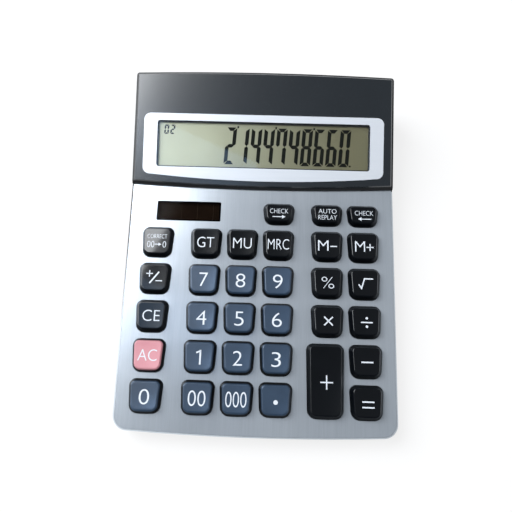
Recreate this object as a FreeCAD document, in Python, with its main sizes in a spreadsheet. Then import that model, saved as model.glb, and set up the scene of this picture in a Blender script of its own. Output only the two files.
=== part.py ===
import FreeCAD, Part
import math
import os
import re

import Sketcher

# A desk calculator: a wedge-shaped two-part case with a metal face plate, a raised display
# panel over a liquid crystal display, a solar cell, one penlight battery and 32 push keys.
# The row frame has +Z up, +Y towards the display and its origin on the table under the middle.
# The keypad frame lies in the face plate's top, tilted about X: x across, y from the middle of
# the front edge towards the display, z out of the plate. The panel frame lies in the display
# panel's top and is tilted further.

SIZES = {
    # tilts in degrees, the second counted from the keypad
    "keypad_tilt": 3,
    "panel_tilt": 12,
    # the case seen square on to the keypad
    "front_height": 12.5,
    "side_border": 7.25,
    "middle_flare": 1.6,
    "rear_flare": 1.2,
    "keypad_border": 10.4,
    "panel_length": 62.8,
    "panel_step": 2.7,
    "front_bow": 2.1,
    "junction_bow": 2.2,
    "rear_bow": 1.4,
    "front_corner": 7.5,
    "rear_corner": 1.7,
    "wall": 2,
    "floor_thick": 2,
    "parting_depth": 6,
    "seam": 0.15,
    "bottom_chamfer": 1.4,
    "foot_stand": 1,
    # face plate and the deck of the upper case that carries it
    "plate_thick": 0.8,
    "plate_rim": 0.6,
    "plate_gap": 0.1,
    "deck_thick": 1.5,
    # display panel, its frame and its lens
    "panel_thick": 2,
    "panel_stand": 1,
    "panel_margin": 1,
    "panel_corner": 0.8,
    "panel_chamfer": 0.6,
    "panel_gap": 0.1,
    "wall_run": 0.6,
    "wall_drop": 1.2,
    "roof_thick": 2,
    "window_deep": 25.1,
    "window_corner": 0.8,
    "lens_ledge": 0.8,
    "lens_thick": 1.2,
    "lens_gap": 0.05,
    "frame_border": 5.9,
    "frame_low": 5.4,
    "frame_side": 8.45,
    "frame_front": 4.7,
    "frame_rear": 4.8,
    "frame_bow": 3.4,
    "frame_corner": 3.8,
    "frame_thick": 0.6,
    "frame_seat": 0.4,
    # display module under the panel
    "glass_border": 3.2,
    "glass_thick": 2.8,
    "module_gap": 0.05,
    "reflector_thick": 0.2,
    "strip_wide": 2,
    "strip_tall": 2.7,
    "display_board_side": 3.3,
    "display_board_border": 6,
    "display_board_thick": 1.2,
    # keys: three sizes on one grid
    "key_wide": 17,
    "key_deep": 17.1,
    "small_deep": 12.3,
    "plus_wide": 19.3,
    "column_step": 20,
    "block_step": 26.85,
    "first_row": 18.8,
    "row_step": 20.6,
    "small_row_step": 18.15,
    "key_height": 3.3,
    "key_skirt": 0.7,
    "key_inset": 1.5,
    "key_front_radius": 78,
    "key_front_corner": 4.4,
    "key_rear_corner": 3.4,
    "key_narrowing": 0.55,
    "key_edge": 0.45,
    "key_wall": 1.3,
    "key_top": 1.3,
    "key_gap": 0.3,
    "key_flange": 0.8,
    "flange_thick": 1,
    "flange_play": 0.1,
    "plunger_radius": 2.4,
    "key_travel": 2,
    # rubber mat, main board
    "dome_squash": 0.4,
    "dome_play": 0.05,
    "dome_radius": 4.4,
    "dome_crown": 2.9,
    "dome_wall": 0.7,
    "mat_thick": 1,
    "mat_border": 0.6,
    "mat_clear": 1.3,
    "mat_lip": 4.65,
    "board_thick": 1.6,
    "board_side": 1.6,
    "board_clear": 0.7,
    "board_back": 4.9,
    "chip_radius": 7,
    "chip_thick": 1.6,
    "chip_round": 1.28,
    "capacitor_radius": 2.5,
    "capacitor_long": 8,
    "capacitor_step": 10.3,
    "part_long": 3.5,
    "part_wide": 1.75,
    "part_tall": 0.8,
    "part_step": 7,
    # solar cell
    "solar_half": 18.1,
    "solar_deep": 11.6,
    "solar_shift": 15.95,
    "solar_corner": 0.8,
    "solar_lift": 0.75,
    "solar_sink": 0.3,
    "solar_gap": 0.1,
    "solar_border": 1,
    "cell_thick": 1.1,
    # screws and their bosses, each screw's cross as shares of its head, shank and head height
    "post_radius": 2.9,
    "post_side": 10.6,
    "post_front": 5.6,
    "post_back": 10.3,
    "screw_seat": 1.8,
    "screw_radius": 1.2,
    "screw_head": 2.2,
    "screw_head_thick": 1.6,
    "screw_long": 6.5,
    "well_radius": 2.5,
    "stud_radius": 2.2,
    "stud_gap": 0.5,
    "small_screw_radius": 0.9,
    "small_screw_head": 1.9,
    "small_screw_head_thick": 1.1,
    "small_screw_long": 4.4,
    "cross_long": 0.6,
    "cross_wide": 0.3,
    "cross_deep": 0.6,
    "pilot_gap": 0.05,
    "hole_gap": 0.2,
    # feet
    "foot_radius": 5,
    "foot_sink": 0.7,
    "foot_side": 20.6,
    "foot_front": 16,
    "foot_back": 20.6,
    # battery, its bay, contacts and door; the reaches are shares of the cell's radius
    "cell_radius": 7.1,
    "cell_long": 49.5,
    "nub_radius": 2.6,
    "nub_long": 1,
    "spring_room": 5.5,
    "bay_gap": 0.5,
    "bay_wall": 2.6,
    "bay_skin": 1.2,
    "bay_clear": 0.2,
    "contact_thick": 0.4,
    "contact_wide": 8,
    "contact_reach": 0.7,
    "leaf_reach": 0.8,
    "tab_tall": 3,
    "slot_gap": 0.2,
    "door_gap": 0.2,
    "door_lap": 0.8,
    "tongue": 0.85,
    "tongue_thick": 0.7,
    "grip_half": 9.4,
    "grip_wide": 1,
    "grip_step": 2,
    "grip_deep": 0.4,
    # wiring
    "lead_radius": 0.5,
    "lead_bend": 2.5,
    "lead_x": 21,
    "lead_rise": 3.4,
    "lead_drop": 4.2,
    "lead_back": 7.5,
    "solar_lead_x": 14.5,
    "solar_lead_step": 5.4,
    "ribbon_half": 14,
    "ribbon_thick": 0.3,
    "rib_thick": 1.2,
    "rib_x": 33,
    "fit_gap": 0.1,
}

# Measures that follow from the sizes. Wherever an expression names one, it is written out.
DERIVED = {
    "front_half": "1.5 * column_step + block_step + key_wide / 2 + side_border",
    "middle_half": "front_half + middle_flare",
    "rear_half": "front_half + rear_flare",
    "last_row": "first_row + 4 * row_step + small_row_step",
    "keypad_length": "last_row + small_deep / 2 + keypad_border",
    "frame_half": "middle_half - frame_border",
    "window_half": "frame_half - frame_side",
    "window_low": "frame_low + frame_front",
    "window_high": "window_low + window_deep",
    "frame_high": "window_high + frame_rear",
    "display_board_half": "rear_half - wall - display_board_side",
    "post_x": "front_half - post_side",
    "foot_x": "front_half - foot_side",
    "board_half": "front_half - wall - board_side",
    "board_front": "post_front + post_radius + board_clear",
    "board_rear": "keypad_length - board_back",
    "solar_centre": "1.5 * column_step + block_step - solar_shift",
    "solar_along": "last_row + solar_lift",
    "mat_half": "board_half - mat_border",
    "mat_front": "board_front + mat_border",
    "mat_step": "solar_along - solar_deep / 2 - solar_border - mat_clear",
    "mat_rear": "last_row + dome_radius + mat_lip",
    "bay_half": "(cell_long + nub_long + contact_thick + spring_room) / 2",
    "bay_back": "wall + rear_bow + bay_skin + bay_clear",
    # levels, as depths under the top of the face plate or of the display panel
    "deck_depth": "plate_thick + deck_thick",
    "flange_depth": "deck_depth + flange_play + flange_thick",
    "dome_tall": "key_travel + dome_squash",
    "board_depth": "flange_depth + dome_tall + mat_thick",
    "underside": "board_depth + board_thick",
    "module_depth": "panel_thick + module_gap",
    "strip_depth": "module_depth + glass_thick",
    "display_board_depth": "strip_depth + strip_tall",
    "display_underside": "display_board_depth + display_board_thick",
    # the case seen from the side
    "rear_corner_along": "keypad_length + panel_length * cos(panel_tilt) + panel_margin",
    "rear_along": "rear_corner_along + rear_bow",
    "case_rise": "panel_step + (panel_length + panel_margin) * sin(panel_tilt) + wall",
    "post_rear": "rear_corner_along - post_back",
    "table_rear": "(foot_stand - front_height - rear_along * sin(keypad_tilt)) / cos(keypad_tilt)",
    "length": "rear_along * cos(keypad_tilt) - table_rear * sin(keypad_tilt)",
    "rear_y": "length / 2",
    # heights over the table
    "inner_floor": "foot_stand + floor_thick",
    "middle_floor": "foot_stand + floor_thick / 2",
    "bay_rear": "rear_y - bay_back",
    "bay_front": "bay_rear - 2 * (cell_radius + bay_gap)",
    "bay_top": "inner_floor + 2 * (cell_radius + bay_gap)",
    "cell_y": "bay_rear - cell_radius - bay_gap",
    "cell_z": "inner_floor + cell_radius + bay_gap",
    "door_half": "bay_half + door_lap",
    "tab_top": "bay_top + wall + tab_tall",
}

doc = FreeCAD.newDocument("calculator")
sheet = doc.addObject("Spreadsheet::Sheet", "Sizes")
for line, (alias, number) in enumerate(SIZES.items(), 1):
    sheet.set("A%d" % line, alias)
    sheet.set("B%d" % line, str(number))
    sheet.setAlias("B%d" % line, alias)
doc.recompute()


def bound(text):
    """The text as an expression in which each size's name is its cell in the sheet."""

    def spell(word):
        if word[0] in DERIVED:
            return "(" + bound(DERIVED[word[0]]) + ")"
        return "Sizes." + word[0] if word[0] in SIZES else word[0]

    return re.sub("[a-z_]+", spell, text)


def value(text):
    """What an expression of sizes comes to now."""
    result = sheet.evalExpression(bound(text))
    return float(getattr(result, "Value", result))


def bind(thing, name, text):
    """Ties one property of an object to an expression of sizes."""
    thing.setExpression(name, bound(text))


def place(thing, x, y, z, tilt):
    """Puts an object at a point, turned about X."""
    thing.Placement = FreeCAD.Placement(
        FreeCAD.Vector(), FreeCAD.Rotation(FreeCAD.Vector(1, 0, 0), 1)
    )
    bind(thing, "Placement.Rotation.Angle", tilt)
    for letter, text in zip("xyz", (x, y, z)):
        bind(thing, "Placement.Base." + letter, text)
    return thing


def in_case(thing, x="0", along="0", up="0"):
    """Places an object in the keypad frame, for a piece that is put together there."""
    return place(thing, x, along, up, "0")


def row_y(along, up):
    """Where a point of the keypad frame lies along Y in the row frame."""
    return "(%s) * cos(keypad_tilt) - (%s) * sin(keypad_tilt) - rear_y" % (along, up)


def row_z(along, up):
    """How high a point of the keypad frame lies in the row frame."""
    return "front_height + (%s) * sin(keypad_tilt) + (%s) * cos(keypad_tilt)" % (along, up)


def on_keypad(thing, x="0", along="0", up="0"):
    """Places an object of the row frame at a point of the keypad frame."""
    return place(thing, x, row_y(along, up), row_z(along, up), "keypad_tilt")


def panel_along(along, up):
    """How far a point of the panel frame lies along the keypad frame."""
    return "(keypad_length + (%s) * cos(panel_tilt) - (%s) * sin(panel_tilt))" % (along, up)


def panel_up(along, up):
    """How far a point of the panel frame lies out of the face plate."""
    return "(panel_step + (%s) * sin(panel_tilt) + (%s) * cos(panel_tilt))" % (along, up)


def panel_in_case(thing, x="0", along="0", up="0"):
    """Places an object in the keypad frame at a point of the panel frame."""
    return place(thing, x, panel_along(along, up), panel_up(along, up), "panel_tilt")


def on_panel(thing, x="0", along="0", up="0"):
    """Places an object of the row frame at a point of the panel frame."""
    on_keypad(thing, x, panel_along(along, up), panel_up(along, up))
    bind(thing, "Placement.Rotation.Angle", "keypad_tilt + panel_tilt")
    return thing


def sketch_on(body, name, role, lift="0"):
    """An empty sketch on one of a body's own origin planes, lifted off it."""
    sketch = body.newObject("Sketcher::SketchObject", name)
    origin_plane = next(f for f in body.Origin.OriginFeatures if f.Role == role)
    sketch.AttachmentSupport = [(origin_plane, "")]
    sketch.MapMode = "FlatFace"
    bind(sketch, "AttachmentOffset.Base.z", lift)
    return sketch


def bind_datum(sketch, kind, places, text):
    """Adds a dimension to a sketch and ties it to an expression of sizes."""
    index = sketch.addConstraint(Sketcher.Constraint(kind, *places, value(text)))
    name = "datum%d" % index
    sketch.renameConstraint(index, name)
    bind(sketch, "Constraints." + name, text)


def outline(body, name, corners, role="XY_Plane", lift="0"):
    """A closed sketch through corners, anticlockwise. A corner with a third entry starts an
    arc with that rise over its chord, outwards, or inwards where a fourth entry says so."""
    sketch = sketch_on(body, name, role, lift)
    points = [FreeCAD.Vector(value(c[0]), value(c[1]), 0) for c in corners]
    ends = []
    for index, corner in enumerate(corners):
        start, stop = points[index], points[(index + 1) % len(points)]
        if len(corner) > 2:
            chord = stop - start
            rise = FreeCAD.Vector(chord.y, -chord.x, 0).normalize() * value(corner[2])
            middle = (start + stop) / 2
            if len(corner) > 3:
                sketch.addGeometry(Part.ArcOfCircle(stop, middle - rise, start))
            else:
                sketch.addGeometry(Part.ArcOfCircle(start, middle + rise, stop))
        else:
            sketch.addGeometry(Part.LineSegment(start, stop))
        forward = (sketch.Geometry[index].StartPoint - start).Length < 1e-6
        ends.append((1, 2) if forward else (2, 1))
    for index in range(len(corners)):
        after = (index + 1) % len(corners)
        sketch.addConstraint(
            Sketcher.Constraint("Coincident", index, ends[index][1], after, ends[after][0])
        )
    for index, corner in enumerate(corners):
        bind_datum(sketch, "DistanceX", (-1, 1, index, ends[index][0]), corner[0])
        bind_datum(sketch, "DistanceY", (-1, 1, index, ends[index][0]), corner[1])
        if len(corner) > 2:
            after = corners[(index + 1) % len(corners)]
            half = "((%s) - (%s)) / 2" % (after[0], corner[0])
            radius = "((%s)^2 + (%s)^2) / (2 * (%s))" % (half, corner[2], corner[2])
            bind_datum(sketch, "Radius", (index,), radius)
    return sketch


def circle(body, name, radius, lift="0"):
    """A sketch of one circle about the body's own Z axis."""
    sketch = sketch_on(body, name, "XY_Plane", lift)
    sketch.addGeometry(Part.Circle(FreeCAD.Vector(), FreeCAD.Vector(0, 0, 1), value(radius)))
    sketch.addConstraint(Sketcher.Constraint("Coincident", 0, 3, -1, 1))
    bind_datum(sketch, "Radius", (0,), radius)
    return sketch


def pad(body, sketch, length, down=False):
    """A pad of a sketch, up unless it is turned down."""
    feature = body.newObject("PartDesign::Pad", sketch.Name + "_pad")
    feature.Profile = sketch
    feature.Reversed = down
    bind(feature, "Length", length)
    sketch.Visibility = False
    return feature


def pocket(body, sketch, length="0", down=False):
    """A pocket of a sketch. With no length it runs both ways through the whole body."""
    feature = body.newObject("PartDesign::Pocket", sketch.Name + "_pocket")
    feature.Profile = sketch
    if length == "0":
        feature.SideType = "Symmetric"
        feature.Type = "ThroughAll"
    else:
        feature.Reversed = not down
        bind(feature, "Length", length)
    return feature


def dress(body, kind, name, base, choose, size):
    """A fillet or chamfer on the edges of a feature that a test chooses."""
    doc.recompute()
    edges = ["Edge%d" % (i + 1) for i, e in enumerate(base.Shape.Edges) if choose(e)]
    feature = body.newObject("PartDesign::" + kind, name)
    feature.Base = (base, edges)
    bind(feature, "Radius" if kind == "Fillet" else "Size", size)
    return feature


def upright(edge):
    """Whether an edge runs along Z."""
    first, last = edge.Vertexes[0].Point, edge.Vertexes[-1].Point
    return abs(first.x - last.x) + abs(first.y - last.y) < 1e-6 and abs(first.z - last.z) > 1e-6


def new_body(label):
    """A body with its own label."""
    body = doc.addObject("PartDesign::Body", label)
    body.Label = label
    return body


def box(name, x, y, z):
    """A box between two values along each axis, placed later by its low corner."""
    solid = doc.addObject("Part::Box", name)
    for side, (low, high) in zip(("Length", "Width", "Height"), (x, y, z)):
        bind(solid, side, "(%s) - (%s)" % (high, low))
    return solid


def cylinder(name, radius, height):
    """An upright cylinder."""
    solid = doc.addObject("Part::Cylinder", name)
    bind(solid, "Radius", radius)
    bind(solid, "Height", height)
    return solid


def fuse(name, pieces):
    """One object that joins several."""
    joined = doc.addObject("Part::MultiFuse", name)
    joined.Shapes = pieces
    return joined


def cut(name, base, tool):
    """One object less another."""
    left = doc.addObject("Part::Cut", name)
    left.Base = base
    left.Tool = tool
    return left


def common(name, first, second):
    """What two objects share."""
    shared = doc.addObject("Part::MultiCommon", name)
    shared.Shapes = [first, second]
    return shared


def group(name, pieces):
    """Separate solids that share one node."""
    bunch = doc.addObject("Part::Compound", name)
    bunch.Links = pieces
    return bunch


def lay_across(thing):
    """Turns a placed cylinder so that it runs along X."""
    thing.setExpression("Placement.Rotation.Angle", None)
    thing.Placement.Rotation = FreeCAD.Rotation(FreeCAD.Vector(0, 1, 0), 90)
    return thing


def copy_of(name, body):
    """A linked copy of a body, with a placement of its own."""
    twin = new_body(name)
    feature = twin.newObject("PartDesign::FeatureBase", name + "_base")
    feature.BaseFeature = body
    twin.Tip = feature
    return twin


# Case: the plan outline that both halves and their hollows share. Its front and rear bow
# outwards, and its sides widen a little towards the display.


def case_plan(inset):
    """The corners of the case's plan, moved inwards."""
    front = "front_bow + %s" % inset
    rear = "rear_corner_along - %s" % inset
    return [
        ("-(front_half - %s)" % inset, front, "front_bow"),
        ("front_half - %s" % inset, front),
        ("middle_half - %s" % inset, "keypad_length"),
        ("rear_half - %s" % inset, rear, "rear_bow"),
        ("-(rear_half - %s)" % inset, rear),
        ("-(middle_half - %s)" % inset, "keypad_length"),
    ]


def round_corners(body, base, inset):
    """Rounds a plan's front and rear corners, less by the inset."""
    middle = value("keypad_length")
    front = dress(
        body, "Fillet", body.Name + "_front_round", base,
        lambda e: upright(e) and e.Vertexes[0].Y < middle / 2, "front_corner - %s" % inset,
    )
    return dress(
        body, "Fillet", body.Name + "_rear_round", front,
        lambda e: upright(e) and e.Vertexes[0].Y > middle + value("panel_length / 2"),
        "max(rear_corner - %s; wall / 4)" % inset,
    )


def upper_block(name, inset, low, deck, roof):
    """The upper half as a solid: a keypad slab and a display housing cut off by the panel's
    tilt. deck is its top under the keypad and roof its depth under the panel's top."""
    body = new_body(name)
    plan = case_plan(inset)
    pad(body, outline(body, name + "_plan", plan, lift="-(%s)" % low),
        "(%s) - (%s)" % (low, deck))
    doc.recompute()
    flare = "(rear_half - middle_half) * %s / (rear_corner_along - keypad_length - %s)"
    side = "middle_half - %s + " % inset + flare % (inset, inset)
    front = "keypad_length + %s" % inset
    housing_plan = [("-(%s)" % side, front, "junction_bow"), (side, front), plan[3], plan[4]]
    pad(body, outline(body, name + "_housing", housing_plan, lift="-(%s)" % low),
        "(%s) + case_rise" % low)
    near, far, depth = "-2 * wall", "panel_length + 6 * wall", "-(%s)" % roof
    slope = [
        (panel_along(near, depth), panel_up(near, depth)),
        (panel_along(far, depth), panel_up(far, depth)),
        (panel_along(far, depth), "2 * case_rise"),
        (panel_along(near, depth), "2 * case_rise"),
    ]
    sloped = pocket(body, outline(body, name + "_slope", slope, role="YZ_Plane"))
    round_corners(body, sloped, inset)
    doc.recompute()
    return body


def lower_block(name, inset, lift):
    """The lower half as a solid, from the parting plane down to a level floor."""
    body = new_body(name)
    pad(body, outline(body, name + "_plan", case_plan(inset), lift="-parting_depth"),
        "front_height + rear_along * sin(keypad_tilt)", down=True)
    floor = "((foot_stand + %s - front_height - (%s) * sin(keypad_tilt)) / cos(keypad_tilt))"
    level = [
        ("-wall", floor % (lift, "-wall")),
        ("-wall", "-2 * front_height - rear_along"),
        ("rear_along + wall", "-2 * front_height - rear_along"),
        ("rear_along + wall", floor % (lift, "rear_along + wall")),
    ]
    levelled = pocket(body, outline(body, name + "_level", level, role="YZ_Plane"))
    rounded = round_corners(body, levelled, inset)
    doc.recompute()
    return body, rounded


# Keys: three sizes of one moulded cap. Each has a flange that the deck holds down, a straight
# skirt in its opening, a tapered crown with a soft edge, and a plunger on the rubber dome.

COLUMNS = [
    "-(1.5 * column_step + block_step)",
    "-1.5 * column_step",
    "-0.5 * column_step",
    "0.5 * column_step",
    "0.5 * column_step + block_step",
    "1.5 * column_step + block_step",
]
ROWS = ["first_row + %d * row_step" % row for row in range(5)]
ROWS.append("first_row + 4 * row_step + small_row_step")

KINDS = {
    "large": ("key_wide", "key_deep"),
    "small": ("key_wide", "small_deep"),
    "tall": ("plus_wide", "(row_step + key_deep)"),
}

# name, kind, column, row
KEYS = [
    ("key_check_forward", "small", COLUMNS[3], ROWS[5]),
    ("key_auto_replay", "small", COLUMNS[4], ROWS[5]),
    ("key_check_back", "small", COLUMNS[5], ROWS[5]),
    ("key_correct", "large", COLUMNS[0], ROWS[4]),
    ("key_grand_total", "large", COLUMNS[1], ROWS[4]),
    ("key_mark_up", "large", COLUMNS[2], ROWS[4]),
    ("key_memory_recall", "large", COLUMNS[3], ROWS[4]),
    ("key_memory_minus", "large", COLUMNS[4], ROWS[4]),
    ("key_memory_plus", "large", COLUMNS[5], ROWS[4]),
    ("key_sign", "large", COLUMNS[0], ROWS[3]),
    ("key_7", "large", COLUMNS[1], ROWS[3]),
    ("key_8", "large", COLUMNS[2], ROWS[3]),
    ("key_9", "large", COLUMNS[3], ROWS[3]),
    ("key_percent", "large", COLUMNS[4], ROWS[3]),
    ("key_root", "large", COLUMNS[5], ROWS[3]),
    ("key_clear_entry", "large", COLUMNS[0], ROWS[2]),
    ("key_4", "large", COLUMNS[1], ROWS[2]),
    ("key_5", "large", COLUMNS[2], ROWS[2]),
    ("key_6", "large", COLUMNS[3], ROWS[2]),
    ("key_multiply", "large", COLUMNS[4], ROWS[2]),
    ("key_divide", "large", COLUMNS[5], ROWS[2]),
    ("key_all_clear", "large", COLUMNS[0], ROWS[1]),
    ("key_1", "large", COLUMNS[1], ROWS[1]),
    ("key_2", "large", COLUMNS[2], ROWS[1]),
    ("key_3", "large", COLUMNS[3], ROWS[1]),
    ("key_minus", "large", COLUMNS[5], ROWS[1]),
    ("key_0", "large", COLUMNS[0], ROWS[0]),
    ("key_00", "large", COLUMNS[1], ROWS[0]),
    ("key_000", "large", COLUMNS[2], ROWS[0]),
    ("key_point", "large", COLUMNS[3], ROWS[0]),
    ("key_equals", "large", COLUMNS[5], ROWS[0]),
    ("key_plus", "tall", COLUMNS[4] + " + (key_wide - plus_wide) / 2", "first_row + row_step / 2"),
]


def key_loop(body, name, kind, grow, lift):
    """A key's plan, grown on every side: a straight rear, sides that close in a little towards
    the front, a slightly bowed front, and rounder front corners than rear ones."""
    half = "(%s / 2 + %s)" % (KINDS[kind][0], grow)
    rear = "(%s / 2 + %s)" % (KINDS[kind][1], grow)
    bow = "(key_front_radius + %s)" % grow
    front_round = "(key_front_corner + %s)" % grow
    rear_round = "(key_rear_corner + %s)" % grow
    sketch = sketch_on(body, name, "XY_Plane", lift)
    w, d, big = value(half), value(rear), value(bow)
    f, r = value(front_round), value(rear_round)
    closing = value("key_narrowing")
    middle = big - d
    turn = 0
    for _ in range(20):
        across = FreeCAD.Vector(math.cos(turn), -math.sin(turn), 0)
        rear_corner = FreeCAD.Vector(w - r * across.x, d - r, 0)
        x = w - closing - f * across.x
        reach = math.sqrt((big - f) ** 2 - x ** 2)
        corner = FreeCAD.Vector(x, middle - reach, 0)
        side_high, side_low = rear_corner + across * r, corner + across * f
        turn = math.atan(closing / (side_high.y - side_low.y))
    touch = FreeCAD.Vector(x, -reach, 0) * (big / (big - f)) + FreeCAD.Vector(0, middle, 0)

    def left(point):
        return FreeCAD.Vector(-point.x, point.y, 0)

    rear_end = FreeCAD.Vector(rear_corner.x, d, 0)
    rear_mid = rear_corner + FreeCAD.Vector(1, 1, 0).normalize() * r
    front_mid = corner + FreeCAD.Vector(1, -1, 0).normalize() * f
    sketch.addGeometry([
        Part.ArcOfCircle(left(touch), FreeCAD.Vector(0, -d, 0), touch),
        Part.ArcOfCircle(touch, front_mid, side_low),
        Part.LineSegment(side_low, side_high),
        Part.ArcOfCircle(side_high, rear_mid, rear_end),
        Part.LineSegment(rear_end, left(rear_end)),
        Part.ArcOfCircle(left(rear_end), left(rear_mid), left(side_high)),
        Part.LineSegment(left(side_high), left(side_low)),
        Part.ArcOfCircle(left(side_low), left(front_mid), left(touch)),
    ])
    for index in range(8):
        sketch.addConstraint(Sketcher.Constraint("Tangent", index, 2, (index + 1) % 8, 1))
    sketch.addConstraint(Sketcher.Constraint("Horizontal", 4))
    sketch.addConstraint(Sketcher.Constraint("PointOnObject", 0, 3, -2))
    sketch.addConstraint(Sketcher.Constraint("Equal", 1, 7))
    sketch.addConstraint(Sketcher.Constraint("Equal", 3, 5))
    bind_datum(sketch, "DistanceX", (-1, 1, 2, 1), half + " - key_narrowing")
    bind_datum(sketch, "DistanceX", (-1, 1, 2, 2), half)
    bind_datum(sketch, "DistanceX", (6, 1, -1, 1), half)
    bind_datum(sketch, "DistanceX", (6, 2, -1, 1), half + " - key_narrowing")
    bind_datum(sketch, "DistanceY", (-1, 1, 4, 1), rear)
    bind_datum(sketch, "DistanceY", (-1, 1, 0, 3), "%s - %s" % (bow, rear))
    bind_datum(sketch, "Radius", (0,), bow)
    bind_datum(sketch, "Radius", (1,), front_round)
    bind_datum(sketch, "Radius", (3,), rear_round)
    return sketch


def key_form(kind):
    """One key cap about its own centre, with z = 0 in the face plate's top."""
    name = kind + "_key"
    body = new_body(name)
    pad(body, key_loop(body, name + "_flange", kind, "key_flange", "-flange_depth"),
        "flange_thick")
    pad(body, key_loop(body, name + "_skirt", kind, "0", "-flange_depth"),
        "flange_depth + key_skirt")
    crown = pad(body, key_loop(body, name + "_crown", kind, "0", "key_skirt"),
                "key_height - key_skirt")
    bind(crown, "TaperAngle", "-atan(key_inset / (key_height - key_skirt))")
    top = value("key_height")
    edged = dress(
        body, "Fillet", name + "_soft_edge", crown,
        lambda e: all(abs(v.Z - top) < 1e-4 for v in e.Vertexes), "key_edge",
    )
    pocket(body, key_loop(body, name + "_hollow", kind, "-key_wall", "-flange_depth"),
           "flange_depth + key_height - key_top")
    pad(body, circle(body, name + "_plunger", "plunger_radius", "-flange_depth"),
        "flange_depth + key_height - key_top / 2")
    doc.recompute()
    return body


def opening_form(kind):
    """The straight opening that a key slides in."""
    name = kind + "_opening"
    body = new_body(name)
    pad(body, key_loop(body, name + "_plan", kind, "key_gap", "-2 * deck_depth"),
        "3 * deck_depth")
    doc.recompute()
    return body


key_forms = {kind: key_form(kind) for kind in KINDS}
opening_forms = {kind: opening_form(kind) for kind in KINDS}
finished = []


def finish(label, thing):
    """Names a finished piece and puts it on the list of nodes."""
    thing.Label = label
    finished.append(thing)
    return thing


openings = []
for name, kind, x, along in KEYS:
    finish(name, on_keypad(copy_of(name, key_forms[kind]), x, along))
    openings.append(in_case(copy_of(name + "_opening", opening_forms[kind]), x, along))

# Screw places in the keypad frame: four case screws, five for the main board, and four in the
# panel frame for the display board.

CASE_POSTS = [
    (sign + "post_x", along) for along in ("post_front", "post_rear") for sign in ("-", "")
]
STUD_COLUMNS = ("-(1.5 * column_step + block_step / 2)", "0.5 * column_step + block_step / 2")
STUDS = [(STUD_COLUMNS[0], "first_row + row_step / 2")]
for x in STUD_COLUMNS:
    STUDS.append((x, "first_row + 2.5 * row_step"))
    STUDS.append((x, "first_row + 4 * row_step + small_row_step / 2"))
DISPLAY_STUDS = [
    (sign + "(display_board_half - stud_radius)", along)
    for sign in ("-", "")
    for along in (
        "window_low - display_board_border + stud_radius",
        "window_high + display_board_border - stud_radius",
    )
]


def prism(name, x, y, z, corner):
    """A body with straight sides and rounded corners between two values along each axis."""
    body = new_body(name)
    corners = [(x[0], y[0]), (x[1], y[0]), (x[1], y[1]), (x[0], y[1])]
    slab = pad(body, outline(body, name + "_plan", corners, lift=z[0]), "(%s) - (%s)" % (z[1], z[0]))
    dress(body, "Fillet", name + "_round", slab, upright, corner)
    doc.recompute()
    return body


# Face plate: a flat metal sheet in a recess of the upper case, pierced for the keys and the
# solar cell. Its rear edge follows the display housing's front wall.


def plate_plan(inset):
    """The corners of the face plate or of its recess."""
    rear = "keypad_length - %s" % inset
    rear_half = "middle_half - plate_rim - %s" % inset
    front_half = "front_half - plate_rim - %s" % inset
    front = "front_bow + plate_rim + %s" % inset
    return [
        ("-(%s)" % front_half, front, "front_bow"),
        (front_half, front),
        (rear_half, rear, "junction_bow", "inwards"),
        ("-(%s)" % rear_half, rear),
    ]


def plate_body(name, inset, thick):
    """The face plate, or the space it lies in."""
    body = new_body(name)
    slab = pad(body, outline(body, name + "_plan", plate_plan(inset), lift="-plate_thick"), thick)
    middle = value("keypad_length") / 2
    dress(body, "Fillet", name + "_round", slab,
          lambda e: upright(e) and e.Vertexes[0].Y < middle,
          "front_corner - plate_rim - %s" % inset)
    doc.recompute()
    return body



def solar_prism(name, border, low, high):
    """A prism over the solar cell's place, grown by a border, between two levels."""
    half = "(solar_half + %s)" % border
    deep = "(solar_deep / 2 + %s)" % border
    return prism(name, ("-solar_centre - " + half, "-solar_centre + " + half),
                 ("solar_along - " + deep, "solar_along + " + deep), (low, high),
                 "solar_corner + max(%s; 0)" % border)


solar_opening = solar_prism("solar_opening", "0", "-2 * deck_depth", "1")
plate_openings = group("plate_openings", openings + [solar_opening])
face_plate = cut("face_plate", plate_body("plate_sheet", "plate_gap", "plate_thick"),
                 plate_openings)
finish("face_plate", on_keypad(face_plate))

# Upper case: a moulded shell with a deck under the face plate, a housing under the display
# panel, posts for the case screws and studs for the two boards.

upper_outer = upper_block("upper_outer", "0", "parting_depth", "0", "panel_stand")
slope_edge = dress(
    upper_outer, "Chamfer", "housing_slope", upper_outer.Tip,
    lambda e: all(abs(v.Y - value("keypad_length")) < 1e-3 and v.Z > 0.1 for v in e.Vertexes),
    "wall_drop",
)
slope_edge.ChamferType = "Two distances"
bind(slope_edge, "Size2", "wall_run")
doc.recompute()
upper_inner = upper_block("upper_inner", "wall", "parting_depth + wall", "deck_depth",
                          "(panel_thick + roof_thick)")
upper_shell = cut("upper_shell", upper_outer, upper_inner)
posts = []
for index, (x, along) in enumerate(CASE_POSTS):
    post = cylinder("upper_post%d" % index, "post_radius", "parting_depth + case_rise")
    posts.append(in_case(post, x, along, "-parting_depth"))
for index, (x, along) in enumerate(STUDS):
    stud = cylinder("board_stud%d" % index, "stud_radius", "board_depth - plate_thick")
    posts.append(in_case(stud, x, along, "-board_depth"))
for index, (x, along) in enumerate(DISPLAY_STUDS):
    stud = cylinder("display_stud%d" % index, "stud_radius", "display_board_depth - panel_thick")
    posts.append(panel_in_case(stud, x, along, "-display_board_depth"))
post_limit = upper_block("post_limit", "wall / 2", "board_depth + wall", "plate_thick",
                         "panel_thick")
upper_posts = common("upper_posts", fuse("upper_post_set", posts), post_limit)
upper_solid = fuse("upper_solid", [upper_shell, upper_posts])


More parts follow.
